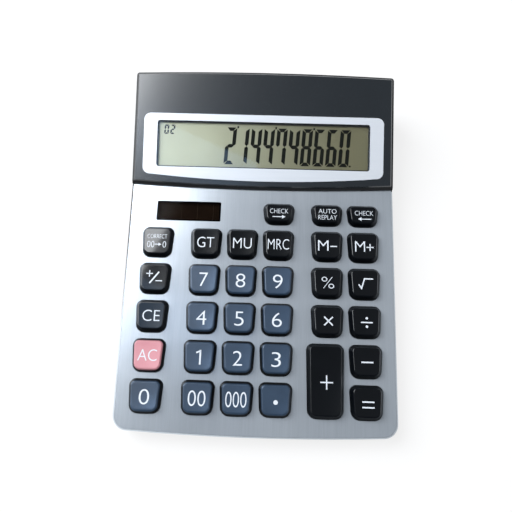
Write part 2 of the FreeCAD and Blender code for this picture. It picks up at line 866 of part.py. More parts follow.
def panel_plan(grow):
    """The corners of the display panel in its own frame, or of the recess that it lies in."""
    front = "panel_margin - %s" % grow
    rear = "panel_length + %s" % grow
    front_half = "middle_half - panel_margin + %s" % grow
    rear_half = "rear_half - panel_margin + %s" % grow
    return [
        ("-(%s)" % front_half, front, "junction_bow"),
        (front_half, front),
        (rear_half, rear, "rear_bow"),
        ("-(%s)" % rear_half, rear),
    ]


def panel_sheet(name, grow, thick):
    """The display panel's blank, or the recess that it lies in."""
    body = new_body(name)
    slab = pad(body, outline(body, name + "_plan", panel_plan(grow), lift="-panel_thick"), thick)
    rounded = dress(body, "Fillet", name + "_round", slab, upright, "panel_corner + %s" % grow)
    doc.recompute()
    return body, rounded


panel_recess, _ = panel_sheet("panel_recess", "panel_gap", "panel_thick * 2")
panel_in_case(panel_recess)
module_hole = box("module_hole",
                  ("-window_half - glass_border - fit_gap", "window_half + glass_border + fit_gap"),
                  ("window_low - glass_border - fit_gap", "window_high + glass_border + fit_gap"),
                  ("-panel_thick - 2 * roof_thick", "0"))
panel_in_case(module_hole, "-window_half - glass_border - fit_gap",
              "window_low - glass_border - fit_gap", "-panel_thick - 2 * roof_thick")
pilots = []
for index, (x, along) in enumerate(CASE_POSTS):
    pilot = cylinder("case_pilot%d" % index, "screw_radius + pilot_gap",
                     "screw_long - screw_seat + pilot_gap * 2")
    pilots.append(in_case(pilot, x, along, "-parting_depth - pilot_gap"))
SMALL_PILOT = "small_screw_long - board_thick + pilot_gap * 2"
for index, (x, along) in enumerate(STUDS):
    pilot = cylinder("stud_pilot%d" % index, "small_screw_radius + pilot_gap", SMALL_PILOT)
    pilots.append(in_case(pilot, x, along, "-board_depth - pilot_gap"))
for index, (x, along) in enumerate(DISPLAY_STUDS):
    pilot = cylinder("display_pilot%d" % index, "small_screw_radius + pilot_gap",
                     "small_screw_long - display_board_thick + pilot_gap * 2")
    pilots.append(panel_in_case(pilot, x, along, "-display_board_depth - pilot_gap"))
plate_recess = plate_body("plate_recess", "0", "plate_thick * 3")
upper_recessed = cut("upper_recessed", upper_solid,
                     fuse("upper_recesses", [plate_recess, panel_recess, module_hole]))
upper_case = cut("upper_case", upper_recessed,
                 group("upper_openings", openings + [solar_opening] + pilots))
finish("upper_case", on_keypad(upper_case))

# Display panel with its bright frame and clear lens, all in the panel frame.


def window_body(name, grow, low, high):
    """A prism over the display window, grown on every side, between two levels."""
    return prism(name, ("-(window_half + %s)" % grow, "window_half + %s" % grow),
                 ("window_low - (%s)" % grow, "window_high + %s" % grow), (low, high),
                 "window_corner + %s" % grow)


def frame_body(name, grow):
    """The bright frame's outer form: straight rear and sides, and a front that bows down."""
    body = new_body(name)
    corners = [
        ("-(frame_half + %s)" % grow, "frame_low - %s" % grow, "frame_bow"),
        ("frame_half + %s" % grow, "frame_low - %s" % grow),
        ("frame_half + %s" % grow, "frame_high + %s" % grow),
        ("-(frame_half + %s)" % grow, "frame_high + %s" % grow),
    ]
    slab = pad(body, outline(body, name + "_plan", corners, lift="-frame_seat"), "frame_thick")
    dress(body, "Fillet", name + "_round", slab, upright, "frame_corner + %s" % grow)
    doc.recompute()
    return body


panel_blank, panel_rounded = panel_sheet("panel_blank", "0", "panel_thick")
dress(panel_blank, "Chamfer", "panel_bevel", panel_rounded,
      lambda e: all(abs(v.Z) < 1e-4 for v in e.Vertexes), "panel_chamfer")
doc.recompute()
panel_cuts = fuse("panel_cuts", [
    window_body("window_hole", "0", "-panel_thick * 1.5", "panel_thick"),
    window_body("lens_seat", "lens_ledge", "-lens_thick", "panel_thick"),
    frame_body("frame_seat_form", "lens_gap"),
])
finish("display_panel", on_panel(cut("display_panel", panel_blank, panel_cuts)))
frame_hole = window_body("frame_hole", "lens_ledge", "-panel_thick", "panel_thick")
finish("display_frame", on_panel(cut("display_frame", frame_body("frame_form", "0"), frame_hole)))
lens = window_body("display_lens", "lens_ledge - lens_gap", "-lens_thick + lens_gap", "0")
finish("display_lens", on_panel(lens))

# Display module: two-layer glass, reflector behind it, rubber contact strips and its board.


def panel_box(label, half, low, high, bottom, top):
    """A box in the panel frame, centred across."""
    solid = box(label + "_block", ("-(%s)" % half, half), (low, high), (bottom, top))
    return on_panel(solid, "-(%s)" % half, low, bottom)


finish("lcd_glass", panel_box("lcd_glass", "window_half + glass_border",
                              "window_low - glass_border", "window_high + glass_border",
                              "-strip_depth", "-module_depth"))
finish("lcd_reflector", panel_box("lcd_reflector", "window_half", "window_low", "window_high",
                                  "-strip_depth - reflector_thick", "-strip_depth"))
strips = []
for name, low in (("strip_front", "window_low - glass_border"),
                  ("strip_rear", "window_high + glass_border - strip_wide")):
    strips.append(panel_box(name, "window_half", low, low + " + strip_wide",
                            "-display_board_depth", "-strip_depth"))
finish("lcd_connectors", group("connector_strips", strips))
display_blank = panel_box("display_board", "display_board_half",
                          "window_low - display_board_border",
                          "window_high + display_board_border",
                          "-display_underside", "-display_board_depth")
display_holes = []
for index, (x, along) in enumerate(DISPLAY_STUDS):
    hole = cylinder("display_hole%d" % index, "small_screw_radius + hole_gap",
                    "display_board_thick * 3")
    display_holes.append(on_panel(hole, x, along, "-display_board_depth - display_board_thick * 2"))
finish("lcd_board", cut("lcd_board", display_blank, group("display_holes", display_holes)))

# Solar cell under the deck and its clear window in the face plate.

solar_window = solar_prism("solar_window", "-solar_gap", "-deck_depth", "-solar_sink")
finish("solar_window", on_keypad(solar_window))
solar_cell = solar_prism("solar_cell", "solar_border", "-deck_depth - cell_thick", "-deck_depth")
finish("solar_cell", on_keypad(solar_cell))

# Rubber key mat: a sheet that is narrower behind the solar cell, with one hollow dome per key
# and holes for the studs.

mat_sheet = new_body("mat_sheet")
pad(mat_sheet, outline(mat_sheet, "mat_plan", [
    ("-mat_half", "mat_front"),
    ("mat_half", "mat_front"),
    ("mat_half", "mat_rear"),
    ("0", "mat_rear"),
    ("0", "mat_step"),
    ("-mat_half", "mat_step"),
], lift="-board_depth"), "mat_thick")


def dome(name, x, along, inset, rise):
    """A cone standing on the main board, inset from the dome's outside."""
    cone = doc.addObject("Part::Cone", name)
    bind(cone, "Radius1", "dome_radius - %s" % inset)
    bind(cone, "Radius2", "dome_crown - %s" % inset)
    bind(cone, "Height", rise)
    return in_case(cone, x, along, "-board_depth")


dome_top = "mat_thick + dome_tall - dome_play"
domes = [mat_sheet]
hollows = []
for name, kind, x, along in KEYS:
    domes.append(dome(name + "_dome", x, along, "0", dome_top))
    hollows.append(dome(name + "_dome_hollow", x, along, "dome_wall", dome_top + " - dome_wall"))
for index, (x, along) in enumerate(STUDS):
    hole = cylinder("mat_hole%d" % index, "stud_radius + stud_gap", "mat_thick * 3")
    hollows.append(in_case(hole, x, along, "-board_depth - mat_thick"))
key_mat = cut("key_mat", fuse("mat_domes", domes), group("mat_hollows", hollows))
finish("key_mat", on_keypad(key_mat))

# Main board with its chip under a drop of resin, two capacitors and a row of small parts.

board_blank = box("board_blank", ("-board_half", "board_half"), ("board_front", "board_rear"),
                  ("0", "board_thick"))
in_case(board_blank, "-board_half", "board_front", "-underside")
board_holes = []
for index, (x, along) in enumerate(STUDS):
    hole = cylinder("board_hole%d" % index, "small_screw_radius + hole_gap", "board_thick * 3")
    board_holes.append(in_case(hole, x, along, "-board_depth - board_thick * 2"))
main_board = cut("main_board", board_blank, group("board_holes", board_holes))
finish("main_board", on_keypad(main_board))

chip = new_body("chip")
chip_blank = pad(chip, circle(chip, "chip_plan", "chip_radius"), "chip_thick", down=True)
dress(chip, "Fillet", "chip_edge", chip_blank,
      lambda e: abs(e.Vertexes[0].Z + value("chip_thick")) < 1e-4, "chip_round")
finish("chip", on_keypad(chip, "0", "first_row + 2.5 * row_step", "-underside"))
components = []
for index in range(2):
    can = cylinder("capacitor%d" % index, "capacitor_radius", "capacitor_long")
    on_keypad(can, "column_step", "first_row + 3 * row_step + %d * capacitor_step" % (index + 1),
              "-underside - capacitor_radius")
    components.append(lay_across(can))
for index in range(6):
    part = box("small_part%d" % index, ("0", "part_long"), ("0", "part_wide"), ("0", "part_tall"))
    components.append(on_keypad(
        part, "%d * part_step" % (index - 3), "first_row + 3.5 * row_step - part_wide",
        "-underside - part_tall"))
finish("board_components", group("component_set", components))

# Ribbon cable: soldered under the main board, rising to the display board's underside.

ribbon_line = [
    ("board_rear - chip_radius", "-underside"),
    ("board_rear + 2 * ribbon_thick", "-underside"),
    (panel_along("window_low - glass_border - wall", "-display_underside"),
     panel_up("window_low - glass_border - wall", "-display_underside")),
    (panel_along("window_low + wall", "-display_underside"), panel_up("window_low + wall", "-display_underside")),
]
ribbon_under = [(along, up + " - ribbon_thick") for along, up in ribbon_line]
ribbon = new_body("ribbon_cable")
ribbon_sketch = outline(ribbon, "ribbon_side", ribbon_under + ribbon_line[::-1], role="YZ_Plane",
                        lift="-ribbon_half")
pad(ribbon, ribbon_sketch, "ribbon_half * 2")
finish("ribbon_cable", on_keypad(ribbon))

# Screws: a round head with a crossed slot over a plain shank.


def screw_form(name, radius, head, head_thick, long):
    """A screw along Z with its head's seat at z = 0 and its shank upwards."""
    body = new_body(name)
    pad(body, circle(body, name + "_head", head), head_thick, down=True)
    pad(body, circle(body, name + "_shank", radius), long)
    arm, side = head + " * cross_long", radius + " * cross_wide"
    for turn, (x, y) in enumerate(((arm, side), (side, arm))):
        slot = [("-(%s)" % x, "-(%s)" % y), (x, "-(%s)" % y), (x, y), ("-(%s)" % x, y)]
        sketch = outline(body, "%s_slot%d" % (name, turn), slot, lift="-(%s)" % head_thick)
        pocket(body, sketch, head_thick + " * cross_deep")
    doc.recompute()
    return body


case_screw = screw_form("case_screw", "screw_radius", "screw_head", "screw_head_thick",
                        "screw_long")
small_screw = screw_form("small_screw", "small_screw_radius", "small_screw_head",
                         "small_screw_head_thick", "small_screw_long")
screws = []
for index, (x, along) in enumerate(CASE_POSTS):
    screws.append(on_keypad(copy_of("case_screw%d" % index, case_screw), x, along,
                            "-parting_depth - seam - screw_seat"))
finish("case_screws", group("case_screw_set", screws))
screws = []
for index, (x, along) in enumerate(STUDS):
    screws.append(on_keypad(copy_of("board_screw%d" % index, small_screw), x, along,
                            "-underside"))
for index, (x, along) in enumerate(DISPLAY_STUDS):
    screws.append(on_panel(copy_of("display_screw%d" % index, small_screw), x, along, "-display_underside"))
finish("board_screws", group("board_screw_set", screws))

# Lower case: a tray with a level floor, wells for the case screws, ribs under the main board, a
# battery bay and an opening for the battery door that runs out at the rear.

lower_outer, lower_rounded = lower_block("lower_outer", "seam", "0")
tilt = math.radians(value("keypad_tilt"))
down_edge = FreeCAD.Vector(0, math.sin(tilt), math.cos(tilt))
floor_level = value("(foot_stand - front_height)")
dress(lower_outer, "Chamfer", "lower_bevel", lower_rounded,
      lambda e: all(abs(v.Point.dot(down_edge) - floor_level) < 1e-3 for v in e.Vertexes),
      "bottom_chamfer")
doc.recompute()
lower_inner, _ = lower_block("lower_inner", "wall", "floor_thick")
lower_lift = cut("lower_shell", lower_outer, lower_inner)
wells = []
for index, (x, along) in enumerate(CASE_POSTS):
    well = cylinder("lower_post%d" % index, "post_radius + bay_wall / 4", "front_height * 3")
    wells.append(in_case(well, x, along, "-parting_depth - seam - front_height * 3"))
for sign in ("-", ""):
    rib = box("board_rib" + sign, ("0", "rib_thick"), ("board_front + wall", "board_rear - wall"),
              ("-front_height * 3", "-underside - fit_gap"))
    wells.append(in_case(rib, sign + "rib_x", "board_front + wall", "-front_height * 3"))
post_floor, _ = lower_block("post_floor", "wall / 2", "floor_thick / 2")
lower_posts = common("lower_posts", fuse("lower_post_set", wells), post_floor)
lower_cuts = []
for index, (x, along) in enumerate(CASE_POSTS):
    hole = cylinder("case_hole%d" % index, "screw_radius + hole_gap", "parting_depth")
    lower_cuts.append(in_case(hole, x, along, "-parting_depth - seam - screw_seat * 2"))
    well = cylinder("screw_well%d" % index, "well_radius", "front_height * 3")
    lower_cuts.append(in_case(well, x, along,
                              "-parting_depth - seam - screw_seat - front_height * 3"))
lower_solid = cut("lower_solid", fuse("lower_joined", [lower_lift, lower_posts]),
                  fuse("lower_holes", lower_cuts))
on_keypad(lower_solid)

def row_box(name, half, y, z):
    """A box of the row frame, centred across."""
    solid = box(name, ("-(%s)" % half, half), y, z)
    return place(solid, "-(%s)" % half, y[0], z[0], "0")


bay_shell = row_box("bay_shell", "bay_half + bay_wall",
                    ("bay_front - bay_wall", "bay_rear + bay_skin"),
                    ("middle_floor", "bay_top + wall"))
bay_space = row_box("bay_space", "bay_half", ("bay_front", "bay_rear"), ("-wall", "bay_top"))
door_space = row_box("door_space", "door_half", ("bay_front - door_lap", "rear_y + wall"),
                     ("-wall", "inner_floor"))
groove = row_box("door_groove", "door_half + tongue + door_gap",
                 ("bay_front - door_lap", "rear_y + wall"),
                 ("middle_floor - tongue_thick / 2 - door_gap",
                  "middle_floor + tongue_thick / 2 + door_gap"))
slots = []
for sign in ("-", ""):
    slot = box("tab_slot" + sign, ("0", "contact_thick + slot_gap"),
               ("0", "contact_wide + 2 * slot_gap"), ("0", "wall * 3"))
    x = "bay_half - contact_thick - slot_gap" if sign == "" else "-bay_half"
    slots.append(place(slot, x, "cell_y - contact_wide / 2 - slot_gap", "bay_top - wall",
                       "0"))
FOOT_SPOTS = [
    (sign + "foot_x", y) for sign in ("-", "") for y in ("foot_front - rear_y", "rear_y - foot_back")
]
foot_seats = []
feet = []
for index, (x, y) in enumerate(FOOT_SPOTS):
    seat = cylinder("foot_seat%d" % index, "foot_radius + fit_gap", "foot_stand + foot_sink")
    foot_seats.append(place(seat, x, y, "0", "0"))
    foot = cylinder("foot%d" % index, "foot_radius", "foot_stand + foot_sink")
    feet.append(place(foot, x, y, "0", "0"))
lower_case = cut("lower_case", fuse("lower_with_bay", [lower_solid, bay_shell]),
                 fuse("row_cuts", [bay_space, door_space, groove] + slots + foot_seats))
finish("lower_case", lower_case)
finish("rubber_feet", group("foot_set", feet))

# Battery door: a flat slide with a tongue along each side and grip grooves underneath. Its rear
# end has the lower case's own outer form, so it lies flush.

door_low = "bay_front - door_lap + door_gap"
door_plate = row_box("door_plate", "door_half - door_gap", (door_low, "rear_y + wall"),
                     ("foot_stand", "inner_floor"))
door_tongue = row_box("door_tongue", "door_half + tongue - door_gap",
                      (door_low, "bay_rear"),
                      ("middle_floor - tongue_thick / 2", "middle_floor + tongue_thick / 2"))
grips = []
for index in range(4):
    low = "bay_rear - %d * grip_step" % (index + 1)
    grips.append(row_box("grip%d" % index, "grip_half", (low, low + " + grip_wide"),
                         ("0", "foot_stand + grip_deep")))
door_limit = on_keypad(copy_of("door_limit", lower_outer))
door_blank = common("door_blank", fuse("door_solid", [door_plate, door_tongue]), door_limit)
door = cut("battery_door", door_blank, group("grips", grips))
finish("battery_door", door)

# Battery and its two contacts. Each contact has a tab that rises through the bay's roof.


def lying(name, radius, long, x):
    """A cylinder along X on the battery's axis."""
    solid = cylinder(name, radius, long)
    return lay_across(place(solid, x, "cell_y", "cell_z", "0"))


can = lying("cell_can", "cell_radius", "cell_long",
            "bay_half - contact_thick - nub_long - cell_long")
nub = lying("cell_nub", "nub_radius", "cell_long / 2 + nub_long",
            "bay_half - contact_thick - nub_long - cell_long / 2")
finish("battery", fuse("battery_solid", [can, nub]))
plus_plate = box("plus_plate", ("0", "contact_thick"), ("0", "contact_wide"),
                 ("cell_z - cell_radius * contact_reach", "tab_top"))
place(plus_plate, "bay_half - contact_thick", "cell_y - contact_wide / 2",
      "cell_z - cell_radius * contact_reach", "0")
finish("positive_contact", plus_plate)
leaf_line = [
    ("-bay_half", "tab_top"),
    ("-bay_half", "cell_z - cell_radius * leaf_reach"),
    ("-bay_half + spring_room - contact_thick", "cell_z"),
    ("-bay_half + spring_room / 2", "cell_z + cell_radius / 2"),
]
leaf = new_body("negative_contact")
leaf_back = [(x + " + contact_thick", z) for x, z in leaf_line]
leaf_back[1] = ("-bay_half + contact_thick", "cell_z - cell_radius * leaf_reach + 2 * contact_thick")
leaf_corners = [
    leaf_line[0],
    leaf_line[1],
    ("-bay_half + contact_thick * 2", "cell_z - cell_radius * leaf_reach"),
    leaf_back[2],
    leaf_back[3],
    leaf_line[3],
    leaf_line[2],
    leaf_back[1],
    leaf_back[0],
]
leaf_sketch = outline(leaf, "leaf_side", leaf_corners, role="XZ_Plane", lift="-contact_wide / 2")
pad(leaf, leaf_sketch, "contact_wide")
finish("negative_contact", place(leaf, "0", "cell_y", "0", "0"))

# Leads: insulated wires with tangent bends, swept from straight runs and arcs.


def pipe(points, radius, bend):
    """A round wire through points, with an arc at each turn."""
    edges = []
    start = points[0]
    for before, corner, after in zip(points, points[1:], points[2:]):
        back = (before - corner).normalize()
        ahead = (after - corner).normalize()
        half_turn = (math.pi - back.getAngle(ahead)) / 2
        trim = bend * math.tan(half_turn)
        first = corner + back * trim
        last = corner + ahead * trim
        inward = (back + ahead).normalize()
        middle = corner + inward * (bend / math.cos(half_turn) - bend)
        edges.append(Part.LineSegment(start, first).toShape())
        edges.append(Part.Arc(first, middle, last).toShape())
        start = last
    edges.append(Part.LineSegment(start, points[-1]).toShape())
    path = Part.Wire(edges)
    section = Part.Wire(Part.makeCircle(radius, points[0], points[1] - points[0]))
    return path.makePipeShell([section], True, False)


def case_point(x, along, up):
    """A point of the keypad frame in the row frame, from the sizes."""
    return row_point(x, row_y(along, up), row_z(along, up))


def row_point(x, y, z):
    """A point of the row frame, from the sizes."""
    return FreeCAD.Vector(value(x), value(y), value(z))


lead_radius, lead_bend = value("lead_radius"), value("lead_bend")
for label, sign in (("red_lead", 1), ("black_lead", -1)):
    tab = "%d * (bay_half - contact_thick)" % sign
    side = "%d * lead_x" % sign
    over = "bay_top + wall + 2 * lead_radius"
    under = "inner_floor + lead_rise"
    ahead = "bay_front - bay_wall - 2 * lead_bend"
    joint = "board_rear - lead_back"
    route = [
        row_point(tab, "cell_y", over),
        row_point(side, "cell_y", over),
        row_point(side, ahead, over),
        row_point(side, ahead + " - lead_bend", under),
        case_point(side, joint, "-underside - lead_drop"),
        case_point(side, joint, "-underside"),
    ]
    wire = doc.addObject("Part::Feature", label + "_wire")
    wire.Shape = pipe(route, lead_radius, lead_bend)
    finish(label, wire)

solar_wires = []
for index in range(2):
    x = "-solar_centre - solar_lead_x + %d * solar_lead_step" % index
    top = case_point(x, "solar_along", "-deck_depth - cell_thick")
    foot = case_point(x, "solar_along", "-board_depth")
    wire = doc.addObject("Part::Feature", "solar_lead%d" % index)
    straight = Part.Wire([Part.LineSegment(top, foot).toShape()])
    section = Part.Wire(Part.makeCircle(lead_radius, top, foot - top))
    wire.Shape = straight.makePipeShell([section], True, False)
    solar_wires.append(wire)
finish("solar_leads", group("solar_lead_set", solar_wires))

doc.recompute()
for thing in doc.Objects:
    if "Invalid" in thing.State or "Error" in thing.State:
        raise RuntimeError("%s failed: %s" % (thing.Name, thing.State))
for thing in finished:
    if thing.Shape.isNull() or not thing.Shape.isValid() or thing.Shape.Volume <= 0:
        raise RuntimeError("%s has no sound shape" % thing.Label)
os.makedirs("parts", exist_ok=True)
for thing in finished:
    thing.Shape.exportStep("parts/" + thing.Label + ".step")
print(len(finished), "pieces written")
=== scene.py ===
import math

import bmesh
import bpy
from mathutils import Matrix, Vector


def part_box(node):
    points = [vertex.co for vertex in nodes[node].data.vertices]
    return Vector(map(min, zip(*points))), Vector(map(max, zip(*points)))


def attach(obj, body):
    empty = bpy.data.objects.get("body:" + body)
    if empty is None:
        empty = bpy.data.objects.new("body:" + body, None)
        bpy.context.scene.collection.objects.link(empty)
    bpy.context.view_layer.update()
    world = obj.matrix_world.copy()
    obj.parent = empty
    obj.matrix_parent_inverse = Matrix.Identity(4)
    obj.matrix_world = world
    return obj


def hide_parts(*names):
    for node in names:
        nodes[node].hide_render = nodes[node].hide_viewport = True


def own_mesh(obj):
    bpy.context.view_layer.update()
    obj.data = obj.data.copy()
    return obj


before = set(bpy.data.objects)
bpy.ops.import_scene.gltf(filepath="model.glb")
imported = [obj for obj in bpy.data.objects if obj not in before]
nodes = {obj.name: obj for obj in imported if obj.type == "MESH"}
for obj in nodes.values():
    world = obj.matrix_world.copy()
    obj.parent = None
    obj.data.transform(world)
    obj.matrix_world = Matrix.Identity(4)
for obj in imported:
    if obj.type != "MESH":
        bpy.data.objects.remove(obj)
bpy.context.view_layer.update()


# Lower case: a tray injection-moulded in black ABS with a fine spark-eroded grain. It closes the
# calculator from below, and its rear carries the bay for one penlight cell.


class Field:
    """A number or colour that changes over a surface. Arithmetic on it adds Math nodes."""

    def __init__(self, socket):
        self.socket = socket

    def maths(self, operation, *values):
        node = self.socket.id_data.nodes.new("ShaderNodeMath")
        node.operation = operation
        for inlet, value in zip(node.inputs, values):
            plug(inlet, value)
        return Field(node.outputs[0])

    def __add__(self, other):
        return self.maths("ADD", self, other)

    def __sub__(self, other):
        return self.maths("SUBTRACT", self, other)

    def __rsub__(self, other):
        return self.maths("SUBTRACT", other, self)

    def __mul__(self, other):
        return self.maths("MULTIPLY", self, other)

    def __pow__(self, other):
        return self.maths("POWER", self, other)

    def __mod__(self, other):
        return self.maths("FLOORED_MODULO", self, other)

    def __gt__(self, other):
        return self.maths("GREATER_THAN", self, other)

    def __lt__(self, other):
        return self.maths("LESS_THAN", self, other)

    def __abs__(self):
        return self.maths("ABSOLUTE", self)

    def at_least(self, low):
        return self.maths("MAXIMUM", self, low)

    __radd__ = __add__
    __rmul__ = __mul__


def plug(inlet, value):
    """Links a field to a socket, or sets a plain value on it."""
    if isinstance(value, Field):
        inlet.id_data.links.new(value.socket, inlet)
    else:
        inlet.default_value = value


class Finish:
    """A material or world of nodes: constants sit on its shader, and fields feed what varies."""

    def __init__(self, name, shader="Principled BSDF", kind="materials", **constants):
        self.look = getattr(bpy.data, kind).new(name)
        self.look.use_nodes = True
        self.nodes = self.look.node_tree.nodes
        self.shader = self.nodes[shader]
        for key, value in constants.items():
            self.feed(key, value)

    def inlet(self, key):
        """One of the shader's sockets, named in small letters with underscores."""
        return self.shader.inputs[key.replace("_", " ").title().replace("Ior", "IOR")]

    def feed(self, key, value):
        """Gives one of the shader's sockets a field or a plain value."""
        plug(self.inlet(key), value)

    def node(self, kind, settings=None, inputs=None, output=0):
        """Adds any other node and returns one of its outputs."""
        made = self.nodes.new("ShaderNode" + kind)
        for key, value in (settings or {}).items():
            setattr(made, key, value)
        for key, value in (inputs or {}).items():
            plug(made.inputs[key], value)
        return Field(made.outputs[output])

    def split(self, vector):
        """The three parts of a vector."""
        return [self.node("SeparateXYZ", {}, {0: vector}, axis) for axis in "XYZ"]

    def place(self):
        """The surface point in the row frame at rest, in millimetres, as three fields."""
        return [part * 1000.0 for part in self.split(self.node("TexCoord", output="Object"))]

    def vector(self, x, y, z):
        return self.node("CombineXYZ", {}, {"X": x, "Y": y, "Z": z})

    def noise(self, vector, scale=1.0, detail=2.0, rough=0.5):
        """A share that wanders about a half. Scale is in turns for each step of the vector."""
        return self.node("TexNoise", {}, {
            "Vector": vector, "Scale": scale, "Detail": detail, "Roughness": rough,
        })

    def blend(self, share, first, second):
        """The first colour where the share is 0 and the second where it is 1."""
        return self.node("Mix", {"data_type": "RGBA"}, {0: share, 6: first, 7: second}, 2)

    def ramp(self, value, low, high):
        """A share that rises smoothly from 0 at low to 1 at high."""
        return self.node("MapRange", {"interpolation_type": "SMOOTHSTEP"}, {
            "Value": value, "From Min": low, "From Max": high,
        })

    def bump(self, height, depth):
        """Turns a height field into the shader's normal. Depth is in millimetres."""
        self.feed("normal", self.node("Bump", {}, {"Distance": depth / 1000, "Height": height}))


def colour(red, green, blue):
    """A screen colour from 0 to 255 as the shader's linear one."""
    shares = [c / 255 for c in (red, green, blue)]
    linear = [s / 12.92 if s <= 0.04045 else ((s + 0.055) / 1.055) ** 2.4 for s in shares]
    return (*linear, 1.0)


def dress(finish, *names):
    """Gives CAD nodes a material."""
    for name in names:
        mesh = nodes[name].data
        mesh.materials.clear()
        mesh.materials.append(finish.look)


def moulded(name, dark, light, roughness, grain, depth, **constants):
    """A moulded surface: a fine grain, a slow drift of shade and slightly uneven gloss.

    Grain is the size of its bumps and depth is their height, both in millimetres.
    """
    finish = Finish(name, **constants)
    point = finish.vector(*finish.place())
    fine = finish.noise(point, scale=1 / grain, detail=3.0, rough=0.6)
    slow = finish.noise(point, scale=0.06)
    finish.feed("base_color", finish.blend(slow * 0.6 + fine * 0.4, dark, light))
    finish.feed("roughness", fine * 0.12 + slow * 0.08 + (roughness - 0.1))
    finish.bump(fine, depth)
    return finish


def black_abs(name):
    """The plastic of both cases."""
    return moulded(name, colour(13, 14, 16), colour(24, 25, 28), roughness=0.42, grain=0.25,
                   depth=0.02)


dress(black_abs("black_case_plastic"), "lower_case")


# Battery door: a flat slide of the same black plastic, held by a tongue along each side, with
# moulded grip grooves for the thumb.

dress(moulded("door_plastic", colour(15, 16, 18), colour(28, 29, 32), roughness=0.5, grain=0.2,
              depth=0.03), "battery_door")


# Feet: four turned pads of soft black rubber, matt and a little dusty, glued into shallow seats
# near the corners of the lower case.

dress(moulded("foot_rubber", colour(18, 18, 18), colour(34, 33, 32), roughness=0.8, grain=0.35,
              depth=0.04), "rubber_feet")


# Screws: zinc-plated steel with a crossed slot in a round head. Four long ones hold the cases
# together from below, and small ones hold the two boards.


def worked_metal(name, dark, light, roughness, across, along):
    """Metal with fine lines: across and along are how many turns of tone there are per mm."""
    finish = Finish(name, metallic=1.0)
    x, y, z = finish.place()
    lines = finish.noise(finish.vector(x * across, y * along, z * along), detail=4.0, rough=0.7)
    cloud = finish.noise(finish.vector(x, y, z), scale=0.08)
    finish.feed("base_color", finish.blend(lines * 0.7 + cloud * 0.3, dark, light))
    finish.feed("roughness", lines * 0.14 + (roughness - 0.07))
    finish.bump(lines, 0.004)
    return finish


dress(worked_metal("zinc_steel", colour(140, 142, 146), colour(196, 198, 202), roughness=0.32,
                   across=3.0, along=3.0), "case_screws", "board_screws")


# Battery: a penlight cell, a steel can in a printed film jacket, plain green with a gold band at
# its raised end. It lies across the bay in the lower case.

BAND_START, BAND_EDGE = 14.0, 0.3
jacket = Finish("battery_jacket", metallic=0.35, roughness=0.3, coat_weight=0.4)
x, y, z = jacket.place()
band = jacket.ramp(x, BAND_START, BAND_START + BAND_EDGE)
scuffs = jacket.noise(jacket.vector(x * 0.6, y * 3.0, z * 3.0), detail=3.0)
printing = jacket.blend(band, colour(24, 92, 58), colour(196, 158, 82))
jacket.feed("base_color", jacket.blend(scuffs * 0.35, printing, colour(200, 205, 200)))
dress(jacket, "battery")


# Battery contacts: nickel-plated spring steel strip, sheared and folded, one at each end of the
# bay. The strip keeps faint lines from rolling.

dress(worked_metal("nickel_strip", colour(168, 164, 150), colour(214, 210, 198), roughness=0.25,
                   across=0.8, along=6.0), "positive_contact", "negative_contact")


# Leads: stranded wire in soft extruded vinyl, red from the battery's raised end and black from
# its flat end and from the solar cell, soldered at both ends.

dress(moulded("red_vinyl", colour(168, 22, 20), colour(204, 40, 34), roughness=0.45, grain=0.5,
              depth=0.02), "red_lead")
dress(moulded("black_vinyl", colour(14, 14, 15), colour(30, 30, 31), roughness=0.45, grain=0.5,
              depth=0.02), "black_lead", "solar_leads")


# Boards: phenolic paper laminate with a green solder mask over tinned copper tracks. The main
# board is screwed up under the key mat, and a smaller one under the display.


def circuit(name, mask, copper, pitch):
    """A laminate board: tracks on a grid, broken at random, under a solder mask."""
    finish = Finish(name, roughness=0.42, coat_weight=0.2)
    x, y, z = finish.place()
    breaks = finish.noise(finish.vector(x, y, z), scale=0.35, detail=1.0)
    lanes = abs((x + breaks * 3.0) % pitch - pitch / 2) < pitch * 0.16
    rungs = abs((y + breaks * 5.0) % (pitch * 2) - pitch) < pitch * 0.14
    tracks = lanes * (breaks > 0.5) + rungs * (breaks < 0.44)
    finish.feed("base_color", finish.blend(tracks, mask, copper))
    finish.bump(tracks, 0.03)
    return finish


dress(circuit("green_board", colour(20, 78, 44), colour(62, 132, 78), pitch=2.4), "main_board")
dress(circuit("display_laminate", colour(24, 84, 50), colour(70, 140, 84), pitch=1.8), "lcd_board")


# Chip: a bare die on the main board under a drop of black epoxy, which sets as a low dome with a
# soft orange-peel surface.

dress(moulded("black_resin", colour(10, 10, 11), colour(24, 24, 25), roughness=0.24, grain=1.6,
              depth=0.08), "chip")


# Small parts on the main board: two sleeved capacitors and a row of chip resistors, soldered to
# its tracks.

dress(moulded("part_bodies", colour(22, 26, 44), colour(60, 62, 70), roughness=0.4, grain=0.9,
              depth=0.02), "board_components")


# Ribbon cable: flat flexible cable, a row of flat conductors laminated in grey film, which joins
# the two boards.

WIRE_PITCH, WIRE_WIDE = 1.0, 0.44
ribbon = Finish("ribbon_film", roughness=0.38)
wires = abs(ribbon.place()[0] % WIRE_PITCH - WIRE_PITCH / 2) < WIRE_WIDE / 2
ribbon.feed("base_color", ribbon.blend(wires, colour(188, 190, 196), colour(120, 122, 130)))
ribbon.bump(wires, 0.05)
dress(ribbon, "ribbon_cable")


# Key mat: one sheet of translucent grey silicone rubber with a hollow dome under each key. A
# pressed key crumples its dome until the carbon pill inside meets the board.

KEYPAD_TILT = math.radians(3)
KEYPAD_ORIGIN = Vector((0, -100.302227, 12.5))
BOARD_TOP = -6.8
DOME_FOOT, DOME_CROWN, DOME_TALL, DOME_WALL, PILL = 4.4, 2.9, 3.35, 0.7, 0.8
DOME_SIDES, DOME_PRESSED = 40, 0.41
